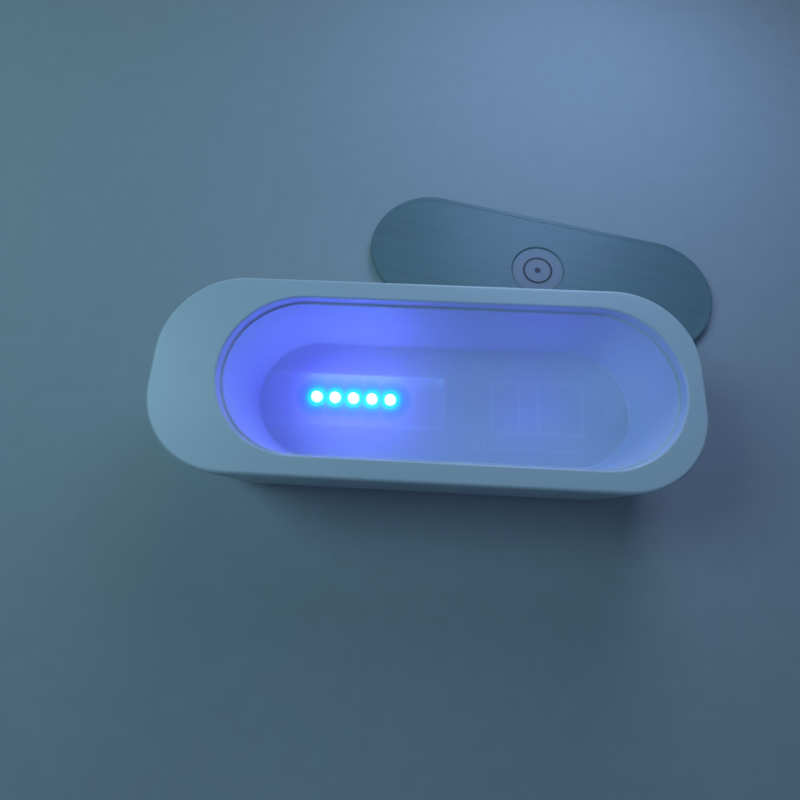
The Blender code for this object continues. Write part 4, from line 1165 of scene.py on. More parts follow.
def housing_ribs(rib_top, rib_bottom):
    """The LED bay, open at its left end, the cell bay with a door for its leads, and the plain ribs."""
    thick = RIB_THICKNESS
    board_low, board_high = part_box("led_board")
    cell_low, cell_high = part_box("battery_cell")
    middle_y = 0.5 * (board_low.y + board_high.y)
    mesh = bmesh.new()
    left = board_low.x - 2.7 * MM
    right = board_high.x + 2.3 * MM
    half = 14.0 * MM
    inner = half - thick
    bay = [
        (left, -half), (right, -half), (right, half), (left, half),
        (left, inner), (right - thick, inner), (right - thick, -inner), (left, -inner),
    ]
    bay = [(x, y + middle_y) for x, y in bay]
    add_loft(mesh, [(bay, rib_bottom), (bay, rib_top)])
    left = cell_low.x - 1.65 * MM
    right = cell_high.x + 1.65 * MM
    half = 13.9 * MM
    inner = half - thick
    door_low, door_high = 7.6 * MM, 12.4 * MM
    bay = [
        (left, door_low), (left, -half), (right, -half), (right, half), (left, half), (left, door_high),
        (left + thick, door_high), (left + thick, inner), (right - thick, inner), (right - thick, -inner),
        (left + thick, -inner), (left + thick, door_low),
    ]
    bay = [(x, y + middle_y) for x, y in bay]
    add_loft(mesh, [(bay, rib_bottom), (bay, rib_top)])
    for offset in CROSS_RIB_OFFSETS:
        x = left + offset
        low = (x - 0.5 * thick, middle_y - inner + 0.3 * MM, rib_top - 1.0 * MM)
        high = (x + 0.5 * thick, middle_y + inner - 0.3 * MM, rib_top)
        add_box(mesh, low, high)
    long_y = middle_y - LONG_RIB_OFFSET
    add_box(
        mesh,
        (left - 0.9 * MM, long_y - 0.5 * thick, rib_bottom),
        (right + 7.2 * MM, long_y + 0.5 * thick, rib_top),
    )
    return new_object(mesh, "ribs")


def housing_openings(settings):
    """LED holes, pilot holes, the socket's slot, the button's hole and the notch in the skirt."""
    floor = HOUSING_HIGH.z - settings.tank_depth
    mesh = bmesh.new()
    for led in LED_MIDDLES:
        at = (led.x, led.y)
        straight, flare = 2.75 * MM, 3.05 * MM
        add_loft(mesh, [
            (circle(straight, at), floor - settings.tank_wall - PAST_FACE),
            (circle(straight, at), floor - 0.3 * MM),
            (circle(flare, at), floor + 0.02 * MM),
            (circle(flare, at), floor + PAST_FACE),
        ])
    bottom, pilot_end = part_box("base_cover")[0].z, 11.9 * MM
    for boss in BOSS_MIDDLES:
        add_rod(mesh, (boss.x, boss.y), PILOT_RADIUS, bottom, pilot_end, SMALL_TURN_STEPS)
    start = HOUSING_LOW.x - PAST_FACE
    for name in CONTROL_SCREW_NAMES:
        low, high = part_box(name)
        screw = middle_of(name)
        add_cross_rod(mesh, low.x - 0.4 * MM, high.x, screw.y, screw.z, BOARD_SCREW_RADIUS, SMALL_TURN_STEPS)
    socket_low, socket_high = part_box("usb_shell")
    gap = 0.3 * MM
    half_width = 0.5 * (socket_high.y - socket_low.y) + gap
    half_height = 0.5 * (socket_high.z - socket_low.z) + gap
    slot = rounded_outline(-half_width, half_width, half_height, half_height, half_height, 0.0, 10)
    slot = [(-z, y) for y, z in slot]
    slot = add_loft(mesh, [(slot, 0.0), (slot, 2.0 * PAST_FACE)])
    socket = middle_of("usb_shell")
    bmesh.ops.transform(mesh, matrix=along_x(start, socket.y, socket.z), verts=slot)
    button = middle_of("power_button")
    add_cross_rod(mesh, start, start + 2.0 * PAST_FACE, button.y, button.z, 4.9 * MM)
    notch_x = HOUSING_LOW.x + 105.8 * MM
    half_notch = 9.5 * MM
    add_box(
        mesh,
        (notch_x - half_notch, HOUSING_LOW.y - PAST_FACE, HOUSING_LOW.z - PAST_FACE),
        (notch_x + half_notch, HOUSING_LOW.y + PAST_FACE + 1.0 * MM, HOUSING_LOW.z + 1.8 * MM),
    )
    return new_object(mesh, "openings")


def add_groove(mesh, start, end, top, half_width, depth):
    """Add a wedge that cuts a shallow V between two points of a level face."""
    along = (Vector(end) - Vector(start)).normalized()
    side = Vector((-along.y, along.x)) * half_width
    lift = 0.2 * depth
    loops = []
    for point in (Vector(start), Vector(end)):
        left, right = point + side, point - side
        loops.append([
            mesh.verts.new((left.x, left.y, top + lift)),
            mesh.verts.new((right.x, right.y, top + lift)),
            mesh.verts.new((point.x, point.y, top - depth)),
        ])
    first, last = loops
    mesh.faces.new(first)
    mesh.faces.new(list(reversed(last)))
    for index in range(3):
        following = (index + 1) % 3
        mesh.faces.new((first[index], last[index], last[following], first[following]))


def sink_ring(name, centre, top, radius, half_width, depth):
    """A ring that cuts a shallow round V into a level face."""
    lift = 0.2 * depth
    ring = turned(name, [
        (radius - half_width, top + lift),
        (radius + half_width, top + lift),
        (radius, top - depth),
        (radius - half_width, top + lift),
    ])
    return settle(ring, Matrix.Translation((centre.x, centre.y, 0.0)))


def add_sink_marks(shell, settings, shaded_mark_plastic, pale):
    """Cut the faint sink marks that bosses and ribs leave in the shoulder and in the tank floor, with
    painted shade in the shoulder's marks and painted light in the floor's.
    """
    ring_radius, ring_width, ring_depth = 3.0 * MM, 0.7 * MM, 0.13 * MM
    dot_radius, dot_depth, dot_lift = 0.8 * MM, 0.16 * MM, 0.02 * MM
    line_width, line_depth = 0.9 * MM, 0.07 * MM
    floor = HOUSING_HIGH.z - settings.tank_depth
    tank_left = HOUSING_LOW.x + settings.shoulder
    for number, boss in enumerate(BOSS_MIDDLES, 1):
        # Marks in the shoulder take the darker copy of the plastic, painted shade; marks in the tank floor
        # take the lighter copy, painted light.
        top, plastic = (floor, pale) if boss.x > tank_left else (HOUSING_HIGH.z, shaded_mark_plastic)
        ring = sink_ring(f"sink_ring_{number}", boss, top, ring_radius, ring_width, ring_depth)
        dot_profile = [(0.0, dot_lift), (dot_radius, dot_lift), (0.0, -dot_depth)]
        dot = turned(f"sink_dot_{number}", dot_profile, SMALL_TURN_STEPS)
        settle(dot, Matrix.Translation((boss.x, boss.y, top)))
        for mark in (ring, dot):
            mark.data.materials.append(plastic)
            combine(shell, mark)
    board_low, board_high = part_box("led_board")
    cell_low, cell_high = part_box("battery_cell")
    middle_y = 0.5 * (board_low.y + board_high.y)
    left, right = cell_low.x - 1.05 * MM, cell_high.x + 1.05 * MM
    bay_right = board_high.x + 1.7 * MM
    half = 13.4 * MM
    long_y = middle_y - LONG_RIB_OFFSET
    lines = [
        ((board_low.x + 4.0 * MM, middle_y + half), (bay_right, middle_y + half)),
        ((board_low.x + 4.0 * MM, middle_y - half), (bay_right, middle_y - half)),
        ((bay_right, middle_y - half), (bay_right, middle_y + half)),
        ((left, middle_y + half), (right, middle_y + half)),
        ((left, middle_y - half), (right, middle_y - half)),
        ((left, long_y), (right, long_y)),
    ]
    for x in (left, *(left + offset for offset in CROSS_RIB_OFFSETS), right):
        lines.append(((x, middle_y - half), (x, middle_y + half)))
    for start, end in lines:
        mesh = bmesh.new()
        add_groove(mesh, start, end, floor, line_width, line_depth)
        line = new_object(mesh, "sink_line")
        # The lighter copy of the plastic paints light along the lines over the ribs.
        line.data.materials.append(pale)
        combine(shell, line)


class SANITIZER_OT_housing(Operator):
    """Build the white moulding with its tank, rim and skirt."""

    bl_idname = "sanitizer.housing"
    bl_label = "Housing"

    def execute(self, context):
        settings = context.scene.sanitizer_housing
        shell = housing_block(settings)
        bosses, rib_top, rib_bottom = housing_supports(settings)
        combine(shell, bosses, "UNION")
        combine(shell, housing_ribs(rib_top, rib_bottom), "UNION")
        combine(shell, housing_openings(settings))
        lights = context.scene.sanitizer_lights
        plastic, shaded_mark_plastic, pale = (
            housing_plastic(name, [tone * channel for channel in settings.colour], lights)
            for name, tone in (
                ("white_satin_plastic", 1.0),
                # Darker copy: painted shade in the sink marks on the shoulder.
                ("white_plastic_painted_shade_at_marks", 0.94),
                # Lighter copy: painted light in the marks and lines on the tank floor over the ribs.
                ("white_plastic_painted_light_over_ribs", 1.045),
            )
        )
        shell.data.materials.clear()
        shell.data.materials.append(plastic)
        add_sink_marks(shell, settings, shaded_mark_plastic, pale)
        install(shell, BASE, None, ["housing"])
        even_shading(shell)
        self.add_gate_mark(settings, plastic)
        return {"FINISHED"}

    def add_gate_mark(self, settings, plastic):
        """The small stub where the moulding was fed, at the right end of the tank floor."""
        floor = HOUSING_HIGH.z - settings.tank_depth
        x = HOUSING_HIGH.x - settings.end_rim - settings.ledge_width - settings.tank_taper - 1.6 * MM
        y = TANK_Y - 3.1 * MM
        stub = turned("gate_mark", [
            (0.0, 0.35 * MM),
            (0.45 * MM, 0.3 * MM),
            (0.75 * MM, 0.1 * MM),
            (0.9 * MM, -0.2 * MM),
            (0.0, -0.2 * MM),
        ], SMALL_TURN_STEPS)
        settle(stub, Matrix.Translation((x, y, floor)))
        install(stub, BASE, plastic)


# Cover, feet and screws

class SANITIZER_OT_cover(Operator):
    """Build the cover below the housing, with its posts, screw holes and foot recesses."""

    bl_idname = "sanitizer.cover"
    bl_label = "Cover"

    def execute(self, context):
        settings = context.scene.sanitizer_housing
        low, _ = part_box("base_cover")
        thick = 2.2 * MM
        top = low.z + thick
        inset = low.x - HOUSING_LOW.x
        profile = softened([
            (inset + 8.0 * MM, low.z),
            (inset, low.z, 0.5 * MM),
            (inset, top, 0.3 * MM),
            (inset + 8.0 * MM, top),
        ], 4)
        mesh = bmesh.new()
        add_loft(mesh, [(body_outline(settings, across), height) for across, height in profile])
        cover = new_object(mesh, "bottom_cover")
        combine(cover, self.posts(top), "UNION")
        combine(cover, self.openings(low.z, top))
        plastic = moulded_plastic(
            "white_cover_plastic", settings.colour, 0.42,
            grain_scale=1900.0, grain_depth=0.04, depth_weight=0.15,
        )
        install(cover, BASE, plastic, ["base_cover"])
        even_shading(cover)
        return {"FINISHED"}

    def posts(self, top):
        """Posts below the LED board and guides for the foot of the control board."""
        mesh = bmesh.new()
        inside = top - 0.5 * MM
        low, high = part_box("led_board")
        edge = 4.0 * MM
        for x in (low.x + edge, high.x - edge):
            for y in (low.y + edge, high.y - edge):
                add_rod(mesh, (x, y), 1.5 * MM, inside, low.z - 0.3 * MM, 32)
        low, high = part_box("control_board")
        gap, thick, half_width = 0.3 * MM, 1.5 * MM, 2.0 * MM
        guide_top = low.z + 3.0 * MM
        for name in CONTROL_SCREW_NAMES:
            y = middle_of(name).y
            for x in (low.x - gap - thick, high.x + gap):
                add_box(mesh, (x, y - half_width, inside), (x + thick, y + half_width, guide_top))
        return new_object(mesh, "posts")

    def openings(self, bottom, top):
        """Stepped screw holes, foot recesses and a shallow frame for a rating plate."""
        mesh = bmesh.new()
        below = bottom - PAST_FACE
        step = bottom + 1.2 * MM
        for boss in BOSS_MIDDLES:
            at = (boss.x, boss.y)
            add_loft(mesh, [
                (circle(3.25 * MM, at), below),
                (circle(3.25 * MM, at), bottom - 0.02 * MM),
                (circle(3.0 * MM, at), bottom + 0.25 * MM),
                (circle(3.0 * MM, at), step),
                (circle(PILOT_RADIUS, at), step),
                (circle(PILOT_RADIUS, at), top + PAST_FACE),
            ])
        for name in FOOT_NAMES:
            foot = middle_of(name)
            add_rod(mesh, (foot.x, foot.y), 6.3 * MM, below, bottom + 1.0 * MM, WIDE_TURN_STEPS)
        middle = middle_of("housing")
        left, right, half_width, corner = middle.x - 34.0 * MM, middle.x - 2.0 * MM, 9.0 * MM, 1.5 * MM
        plate = rounded_outline(left, right, half_width, corner, corner, middle.y, 6)
        add_loft(mesh, [(plate, below), (plate, bottom + 0.25 * MM)])
        return new_object(mesh, "cover_openings")


class SANITIZER_OT_feet(Operator):
    """Build the four rubber feet."""

    bl_idname = "sanitizer.feet"
    bl_label = "Feet"

    def execute(self, context):
        rubber = moulded_plastic(
            "grey_rubber", (0.075, 0.077, 0.082), 0.72, grain_scale=900.0, grain_depth=0.1,
        )
        for name in FOOT_NAMES:
            low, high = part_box(name)
            radius = 0.5 * (high.x - low.x)
            height = high.z - low.z
            profile = [(0.0, height)] + softened([
                (0.5 * radius, height),
                (radius, height, 0.3 * MM),
                (radius, 0.0, 0.9 * MM),
                (0.72 * radius, 0.0, 0.0),
                (0.68 * radius, 0.35 * MM, 0.0),
                (0.58 * radius, 0.35 * MM, 0.0),
                (0.54 * radius, 0.0, 0.0),
                (0.2 * radius, 0.0),
            ], 5) + [(0.0, 0.0)]
            foot = turned(f"rubber_{name}", profile, WIDE_TURN_STEPS)
            middle = 0.5 * (low + high)
            settle(foot, Matrix.Translation((middle.x, middle.y, low.z)))
            install(foot, BASE, rubber, [name])
        return {"FINISHED"}


def cross_recess(radius, depth):
    """A tapered cross that cuts the drive into a screw head; it points up from below height 0."""
    mesh = bmesh.new()
    wide, narrow = 0.17 * radius, 0.1 * radius
    rings = []
    long, short = 0.62 * radius, 0.3 * radius
    for arm, reach, height in ((wide, long, -PAST_FACE), (wide, long, 0.0), (narrow, short, depth)):
        cross = [
            (arm, -reach), (arm, -arm), (reach, -arm), (reach, arm), (arm, arm), (arm, reach),
            (-arm, reach), (-arm, arm), (-reach, arm), (-reach, -arm), (-arm, -arm), (-arm, -reach),
        ]
        rings.append((cross, height))
    add_loft(mesh, rings)
    return new_object(mesh, "recess")


class SANITIZER_OT_screws(Operator):
    """Build the cover's four screws and the control board's two, with cross recesses and threads."""

    bl_idname = "sanitizer.screws"
    bl_label = "Screws"

    def execute(self, context):
        steel = plated_metal("zinc_plated_steel", (0.62, 0.63, 0.66), 0.28, "Z")
        for name in BASE_SCREW_NAMES:
            low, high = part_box(name)
            head_radius = 0.5 * (high.x - low.x)
            screw = self.screw(f"steel_{name}", head_radius, 1.5 * MM, 1.0 * MM, high.z - low.z)
            middle = 0.5 * (low + high)
            settle(screw, Matrix.Translation((middle.x, middle.y, low.z)))
            install(screw, BASE, steel, [name])
        for name in CONTROL_SCREW_NAMES:
            low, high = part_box(name)
            head_radius = 0.5 * (high.y - low.y)
            screw = self.screw(f"steel_{name}", head_radius, 1.2 * MM, 0.85 * MM, high.x - low.x)
            middle = 0.5 * (low + high)
            turn = Matrix.Rotation(math.radians(-90.0), 4, "Y")
            settle(screw, Matrix.Translation((high.x, middle.y, middle.z)) @ turn)
            install(screw, BASE, steel, [name])
        return {"FINISHED"}

    def screw(self, name, head_radius, head_height, radius, length):
        """A screw that stands on its head at the origin, with a ridged thread."""
        pitch = 0.8 * radius
        tip = 0.9 * radius
        profile = [(0.0, length), (0.25 * radius, length)]
        height = length - tip
        while height - pitch > head_height + 0.3 * pitch:
            profile += [(0.72 * radius, height), (radius, height - 0.5 * pitch)]
            height -= pitch
        profile += [(0.72 * radius, height), (0.72 * radius, head_height)]
        head = softened([
            (0.8 * radius, head_height),
            (head_radius, head_height, 0.12 * head_height),
            (head_radius, 0.0, 0.55 * head_height),
            (0.3 * head_radius, 0.0),
        ], 5)
        profile += head + [(0.0, 0.0)]
        screw = turned(name, profile, 40)
        return combine(screw, cross_recess(head_radius, 0.6 * head_height))


# LEDs and their board

class SANITIZER_OT_leds(Operator):
    """Build the five round LEDs with their flanges and legs."""

    bl_idname = "sanitizer.leds"
    bl_label = "LEDs"

    def execute(self, context):
        epoxy = lit_epoxy(context.scene.sanitizer_lights)
        tinned = plated_metal("tinned_leads", (0.7, 0.71, 0.73), 0.3, "Z")
        for name in LED_NAMES:
            low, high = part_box(name)
            middle = 0.5 * (low + high)
            height = high.z - low.z
            flange_radius = 0.5 * (high.x - low.x)
            radius = 2.5 * MM
            dome = [
                (radius * math.sin(turn), height - radius + radius * math.cos(turn))
                for turn in (0.5 * math.pi * step / 14 for step in range(15))
            ]
            foot = softened([
                (radius, height - 1.2 * radius),
                (radius, 1.0 * MM, 0.15 * MM),
                (flange_radius, 1.0 * MM, 0.15 * MM),
                (flange_radius, 0.0, 0.1 * MM),
                (0.5 * radius, 0.0),
            ], 4)
            lens = turned(f"lit_{name}", dome + foot + [(0.0, 0.0)])
            combine(lens, box_object("cathode_flat", (
                (radius + 0.12 * MM, -2.0 * radius, -PAST_FACE),
                (2.0 * flange_radius, 2.0 * radius, 1.1 * MM),
            )))
            settle(lens, Matrix.Translation((middle.x, middle.y, low.z)))
            install(lens, BASE, epoxy, [name], 40.0)
            self.add_legs(name, middle, low.z, tinned)
        return {"FINISHED"}

    def add_legs(self, name, middle, bottom, tinned):
        """Two square legs that go down through the board, with a blob of solder on each."""
        board_low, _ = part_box("led_board")
        half_pitch, half = 1.27 * MM, 0.23 * MM
        tip = board_low.z - 0.9 * MM
        mesh = bmesh.new()
        for side in (-1.0, 1.0):
            x = middle.x + side * half_pitch
            add_box(mesh, (x - half, middle.y - half, tip), (x + half, middle.y + half, bottom))
            solder_bottom = board_low.z - 0.7 * MM
            add_loft(mesh, [
                (circle(0.35 * MM, (x, middle.y), 20), solder_bottom),
                (circle(0.55 * MM, (x, middle.y), 20), solder_bottom + 0.35 * MM),
                (circle(0.9 * MM, (x, middle.y), 20), board_low.z - 0.02 * MM),
            ])
        legs = new_object(mesh, f"legs_{name}")
        install(legs, BASE, tinned)


class SANITIZER_OT_led_board(Operator):
    """Build the LED board, its resistors and its connector."""

    bl_idname = "sanitizer.led_board"
    bl_label = "LED board"

    def execute(self, context):
        low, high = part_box("led_board")
        middle_y = 0.5 * (low.y + high.y)
        half = 0.5 * (high.y - low.y)
        mesh = bmesh.new()
        outline = rounded_outline(low.x, high.x, half, 1.5 * MM, 1.5 * MM, middle_y, 6)
        add_loft(mesh, [(outline, low.z), (outline, high.z)])
        board = new_object(mesh, "green_led_board")
        mask = solder_mask("green_mask_flat", MASK_GREEN, "XY")
        install(board, BASE, mask, ["led_board"])
        soften_edges(board, 0.12 * MM, 2)
        ceramic = moulded_plastic("resistor_body", (0.03, 0.03, 0.034), 0.4)
        tin = plated_metal("resistor_ends", TIN, 0.32, "X")
        for name in RESISTOR_NAMES:
            self.resistor(name, ceramic, tin)
        self.connector()
        return {"FINISHED"}

    def resistor(self, name, ceramic, tin):
        """A dark chip between two tinned ends."""
        low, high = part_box(name)
        cap, inset, solder = 0.4 * MM, 0.03 * MM, 0.28 * MM
        chip = box_object(f"chip_{name}", (
            (low.x + cap, low.y + inset, low.z),
            (high.x - cap, high.y - inset, high.z),
        ))
        install(chip, BASE, ceramic, [name])
        soften_edges(chip, 0.04 * MM, 2)
        caps = box_object(f"ends_{name}", *(
            ((x, low.y, low.z - solder), (x + cap, high.y, high.z)) for x in (low.x, high.x - cap)
        ))
        install(caps, BASE, tin)
        soften_edges(caps, 0.05 * MM, 2)

    def connector(self):
        """The flat two-way connector at the left end of the board."""
        low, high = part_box("led_connector")
        middle_y, middle_z = 0.5 * (low.y + high.y), 0.5 * (low.z + high.z)
        start, end = low.x - 1.0 * MM, low.x + 2.4 * MM
        nylon = moulded_plastic("natural_nylon", NYLON, 0.42, depth_weight=0.1)
        body = box_object("led_plug_body", (low, high))
        combine(body, cross_rod_object("plug_holes", *(
            (start, end, middle_y + side * MM, middle_z, 0.62 * MM, SMALL_TURN_STEPS) for side in (-0.8, 0.8)
        )))
        install(body, BASE, nylon, ["led_connector"])
        soften_edges(body, 0.12 * MM, 2)


# Control board

class SANITIZER_OT_control_board(Operator):
    """Build the control board in the left shoulder, with its chip, inductor, switch and connectors."""

    bl_idname = "sanitizer.control_board"
    bl_label = "Control board"

    def execute(self, context):
        low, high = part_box("control_board")
        board = box_object("green_control_board", (low, high))
        combine(board, cross_rod_object("board_holes", *(
            (low.x - PAST_FACE, high.x + PAST_FACE, screw.y, screw.z, BOARD_SCREW_RADIUS, 32)
            for screw in map(middle_of, CONTROL_SCREW_NAMES)
        )))
        mask = solder_mask("green_mask_upright", MASK_GREEN, "YZ")
        install(board, BASE, mask, ["control_board"])
        soften_edges(board, 0.12 * MM, 2)
        black = moulded_plastic("black_epoxy", (0.02, 0.02, 0.023), 0.45)
        tin = plated_metal("tinned_pins", TIN, 0.3, "Z")
        self.chip(black, tin)
        self.inductor()
        self.switch(black, tin)
        nylon = moulded_plastic("plug_nylon", NYLON, 0.42, depth_weight=0.1)
        for name in ("control_connector", "battery_connector"):
            self.connector(name, nylon)
        return {"FINISHED"}

    def chip(self, black, tin):
        """The eight-legged controller."""
        low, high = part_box("control_chip")
        body = box_object("controller_body", (
            (low.x, low.y + 0.6 * MM, low.z),
            (high.x, high.y - 0.6 * MM, high.z),
        ))
        dimple = (high.x - 0.12 * MM, high.x + 1.0 * MM, low.y + 1.3 * MM, high.z - 0.7 * MM, 0.3 * MM)
        combine(body, cross_rod_object("dimple", (*dimple, SMALL_TURN_STEPS)))
        install(body, BASE, black, ["control_chip"])
        soften_edges(body, 0.08 * MM, 2)
        count, half = 4, 0.18 * MM
        legs = []
        for step in range(count):
            z = low.z + (0.5 + step) * (high.z - low.z) / count
            for edge, side in ((low.y, 1.0), (high.y, -1.0)):
                for near, far, back, front in ((0.3, 0.7, 0.35, 0.55), (0.0, 0.35, -0.28, 0.54)):
                    start, end = sorted((edge + side * near * MM, edge + side * far * MM))
                    legs.append(((low.x + back * MM, start, z - half), (low.x + front * MM, end, z + half)))
        install(box_object("controller_legs", *legs), BASE, tin)

    def inductor(self):
        """The square inductor with a round ferrite top."""
        low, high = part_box("power_inductor")
        middle = middle_of("power_inductor")
        ferrite = moulded_plastic(
            "dark_ferrite", (0.045, 0.045, 0.05), 0.62, grain_scale=2400.0, grain_depth=0.06,
        )
        block = box_object("inductor_block", (low, (high.x - 0.5 * MM, high.y, high.z)))
        cap = cross_rod_object("inductor_cap", (high.x - 0.6 * MM, high.x, middle.y, middle.z, 1.9 * MM))
        combine(block, cap, "UNION")
        install(block, BASE, ferrite, ["power_inductor"])
        soften_edges(block, 0.15 * MM, 2)

    def switch(self, black, tin):
        """The square switch with a steel cover, four rivets and a round plunger."""
        low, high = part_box("tact_switch")
        middle = 0.5 * (low + high)
        face = low.x + 0.6 * MM
        sheet, rivet_offset = 0.25 * MM, 2.3 * MM
        base = box_object("switch_base", ((face + sheet, low.y, low.z), high))
        plunger = cross_rod_object("plunger", (low.x, face + 0.6 * MM, middle.y, middle.z, 1.7 * MM))
        combine(base, plunger, "UNION")
        install(base, BASE, black, ["tact_switch"])
        soften_edges(base, 0.15 * MM, 2)
        mesh = bmesh.new()
        add_box(mesh, (face, low.y, low.z), (face + sheet, high.y, high.z))
        for y in (middle.y - rivet_offset, middle.y + rivet_offset):
            for z in (middle.z - rivet_offset, middle.z + rivet_offset):
                add_cross_rod(mesh, face - 0.12 * MM, face + 0.1 * MM, y, z, 0.4 * MM, 20)
        cover = new_object(mesh, "switch_cover")
        hole = (low.x - 1.0 * MM, face + 1.0 * MM, middle.y, middle.z, 1.9 * MM)
        combine(cover, cross_rod_object("switch_hole", hole))
        install(cover, BASE, tin)

    def connector(self, name, nylon):
        """An upright two-way socket with its leads' holes at the front."""
        low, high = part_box(name)
        middle_y, middle_z = 0.5 * (low.y + high.y), 0.5 * (low.z + high.z)
        start, end = high.x - 3.0 * MM, high.x + 1.0 * MM
        body = box_object(f"nylon_{name}", (low, high))
        holes = bmesh.new()
        for side in (-0.8, 0.8):
            add_cross_rod(holes, start, end, middle_y + side * MM, middle_z, 0.64 * MM, SMALL_TURN_STEPS)
        slot = 0.9 * MM
        add_box(
            holes,
            (low.x + slot, middle_y - slot, high.z - 0.5 * MM),
            (high.x - slot, middle_y + slot, high.z + PAST_FACE),
        )
        combine(body, new_object(holes, "socket_holes"))
        install(body, BASE, nylon, [name])
        soften_edges(body, 0.15 * MM, 2)


class SANITIZER_OT_socket(Operator):
    """Build the charging socket: a drawn shell with a lip, and the tongue with its contacts."""

    bl_idname = "sanitizer.socket"
    bl_label = "Charging socket"

    def execute(self, context):
        low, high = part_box("usb_shell")
        middle = 0.5 * (low + high)
        half_width = 0.5 * (high.y - low.y)
        half_height = 0.5 * (high.z - low.z)
        length = high.x - low.x
        wall = 0.35 * MM
        steel = plated_metal("drawn_steel", (0.66, 0.67, 0.69), 0.24, "X")
        profile = softened([
            (2.0 * wall, length),
            (0.0, length, 0.3 * MM),
            (0.0, 0.0, 0.15 * MM),
            (wall, 0.0, 0.15 * MM),
            (wall, length - wall, 0.1 * MM),
            (2.0 * wall, length - wall),
        ], 4)
        mesh = bmesh.new()
        rings = []
        for inset, height in profile:
            half = half_height - inset
            reach = half_width - inset
            outline = rounded_outline(-reach, reach, half, half, half, 0.0, 12)
            rings.append(([(-z, y) for y, z in outline], height))
        add_loft(mesh, rings)
        shell = new_object(mesh, "socket_shell")
        settle(shell, along_x(low.x, middle.y, middle.z))
        install(shell, BASE, steel, ["usb_shell"])
        self.tongue()
        return {"FINISHED"}

    def tongue(self):
        """The black tongue and its gilt contacts."""
        low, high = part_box("usb_tongue")
        black = moulded_plastic("tongue_plastic", (0.02, 0.02, 0.022), 0.4)
        tongue = box_object("socket_tongue", (low, high))
        install(tongue, BASE, black, ["usb_tongue"])
        soften_edges(tongue, 0.12 * MM, 2)
        gilt = plated_metal("gilt_contacts", (0.86, 0.63, 0.27), 0.22, "X")
        start, end = low.x + 0.7 * MM, high.x - 0.5 * MM
        sunk, raised = 0.02 * MM, 0.03 * MM
        count, half = 12, 0.13 * MM
        contacts = []
        for number in range(count):
            y = low.y + (high.y - low.y) * (number + 0.5) / count
            for bottom, top in ((high.z - sunk, high.z + raised), (low.z - raised, low.z + sunk)):
                contacts.append(((start, y - half, bottom), (end, y + half, top)))
        install(box_object("socket_contacts", *contacts), BASE, gilt)


class SANITIZER_OT_button(Operator):
    """Build the power button, a dished cap on a flange."""

    bl_idname = "sanitizer.button"
    bl_label = "Power button"

    def execute(self, context):
        low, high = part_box("power_button")
        middle = 0.5 * (low + high)
        length = high.x - low.x
        flange_radius = 0.5 * (high.y - low.y)
        radius = 4.5 * MM
        flange = 0.8 * MM
        dish = [
            (radius * 0.8 * step / 6, 0.35 * MM * (1.0 - (step / 6) ** 2))
            for step in range(6, -1, -1)
        ]
        side = softened([
            (0.6 * flange_radius, length),
            (flange_radius, length, 0.2 * MM),
            (flange_radius, length - flange, 0.2 * MM),
            (radius, length - flange, 0.1 * MM),
            (radius, 0.0, 0.5 * MM),
            (0.8 * radius + 0.01 * MM, 0.0),
        ], 5)
        button = turned("button_cap", [(0.0, length)] + side + dish, WIDE_TURN_STEPS)
        settle(button, along_x(low.x, middle.y, middle.z))
        colour = context.scene.sanitizer_housing.colour
        plastic = moulded_plastic(
            "white_button_plastic", colour, 0.3, grain_scale=2600.0, grain_depth=0.015, depth_weight=0.15,
        )
        install(button, BUTTON, plastic, ["power_button"])
        return {"FINISHED"}


# Cell and leads

class SANITIZER_OT_cell(Operator):
    """Build the pouch cell with its taped end, and the foam pad below it."""

    bl_idname = "sanitizer.cell"
    bl_label = "Cell"

    def execute(self, context):
        low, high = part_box("battery_cell")
        middle = 0.5 * (low + high)
        terrace, tape_edge, half_tape = 3.0 * MM, 1.2 * MM, 0.9 * MM
        pouch = box_object("pouch_cell", ((low.x + terrace, low.y, low.z), high))
        install(pouch, BASE, crinkled_foil(), ["battery_cell"])
        soften_edges(pouch, 0.9 * MM, 5)
        tape = moulded_plastic("amber_tape", (0.62, 0.3, 0.04), 0.28, grain_scale=700.0)
        strip = box_object("taped_end", (
            (low.x, low.y + tape_edge, middle.z - half_tape),
            (low.x + terrace + 1.4 * MM, high.y - tape_edge, middle.z + half_tape),
        ))
        install(strip, BASE, tape)
        soften_edges(strip, 0.3 * MM, 3)
        foam = moulded_plastic("white_foam", (0.78, 0.78, 0.74), 0.85, grain_scale=1100.0, grain_depth=0.25)
        pad = box_object("foam_pad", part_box("battery_pad"))
        install(pad, BASE, foam, ["battery_pad"])
        soften_edges(pad, 0.15 * MM, 2)
        return {"FINISHED"}


def smooth_line(points, steps=10):
    """Points along a smooth line through the given ones."""
    padded = [2.0 * points[0] - points[1]] + points + [2.0 * points[-1] - points[-2]]
    line = []
    for before, start, end, after in zip(padded, padded[1:], padded[2:], padded[3:]):
        for step in range(steps):
            part = step / steps
            line.append(0.5 * (
                2.0 * start
                + (end - before) * part
                + (2.0 * before - 5.0 * start + 4.0 * end - after) * part ** 2
                + (3.0 * start - before - 3.0 * end + after) * part ** 3
            ))
    line.append(points[-1])
    return line


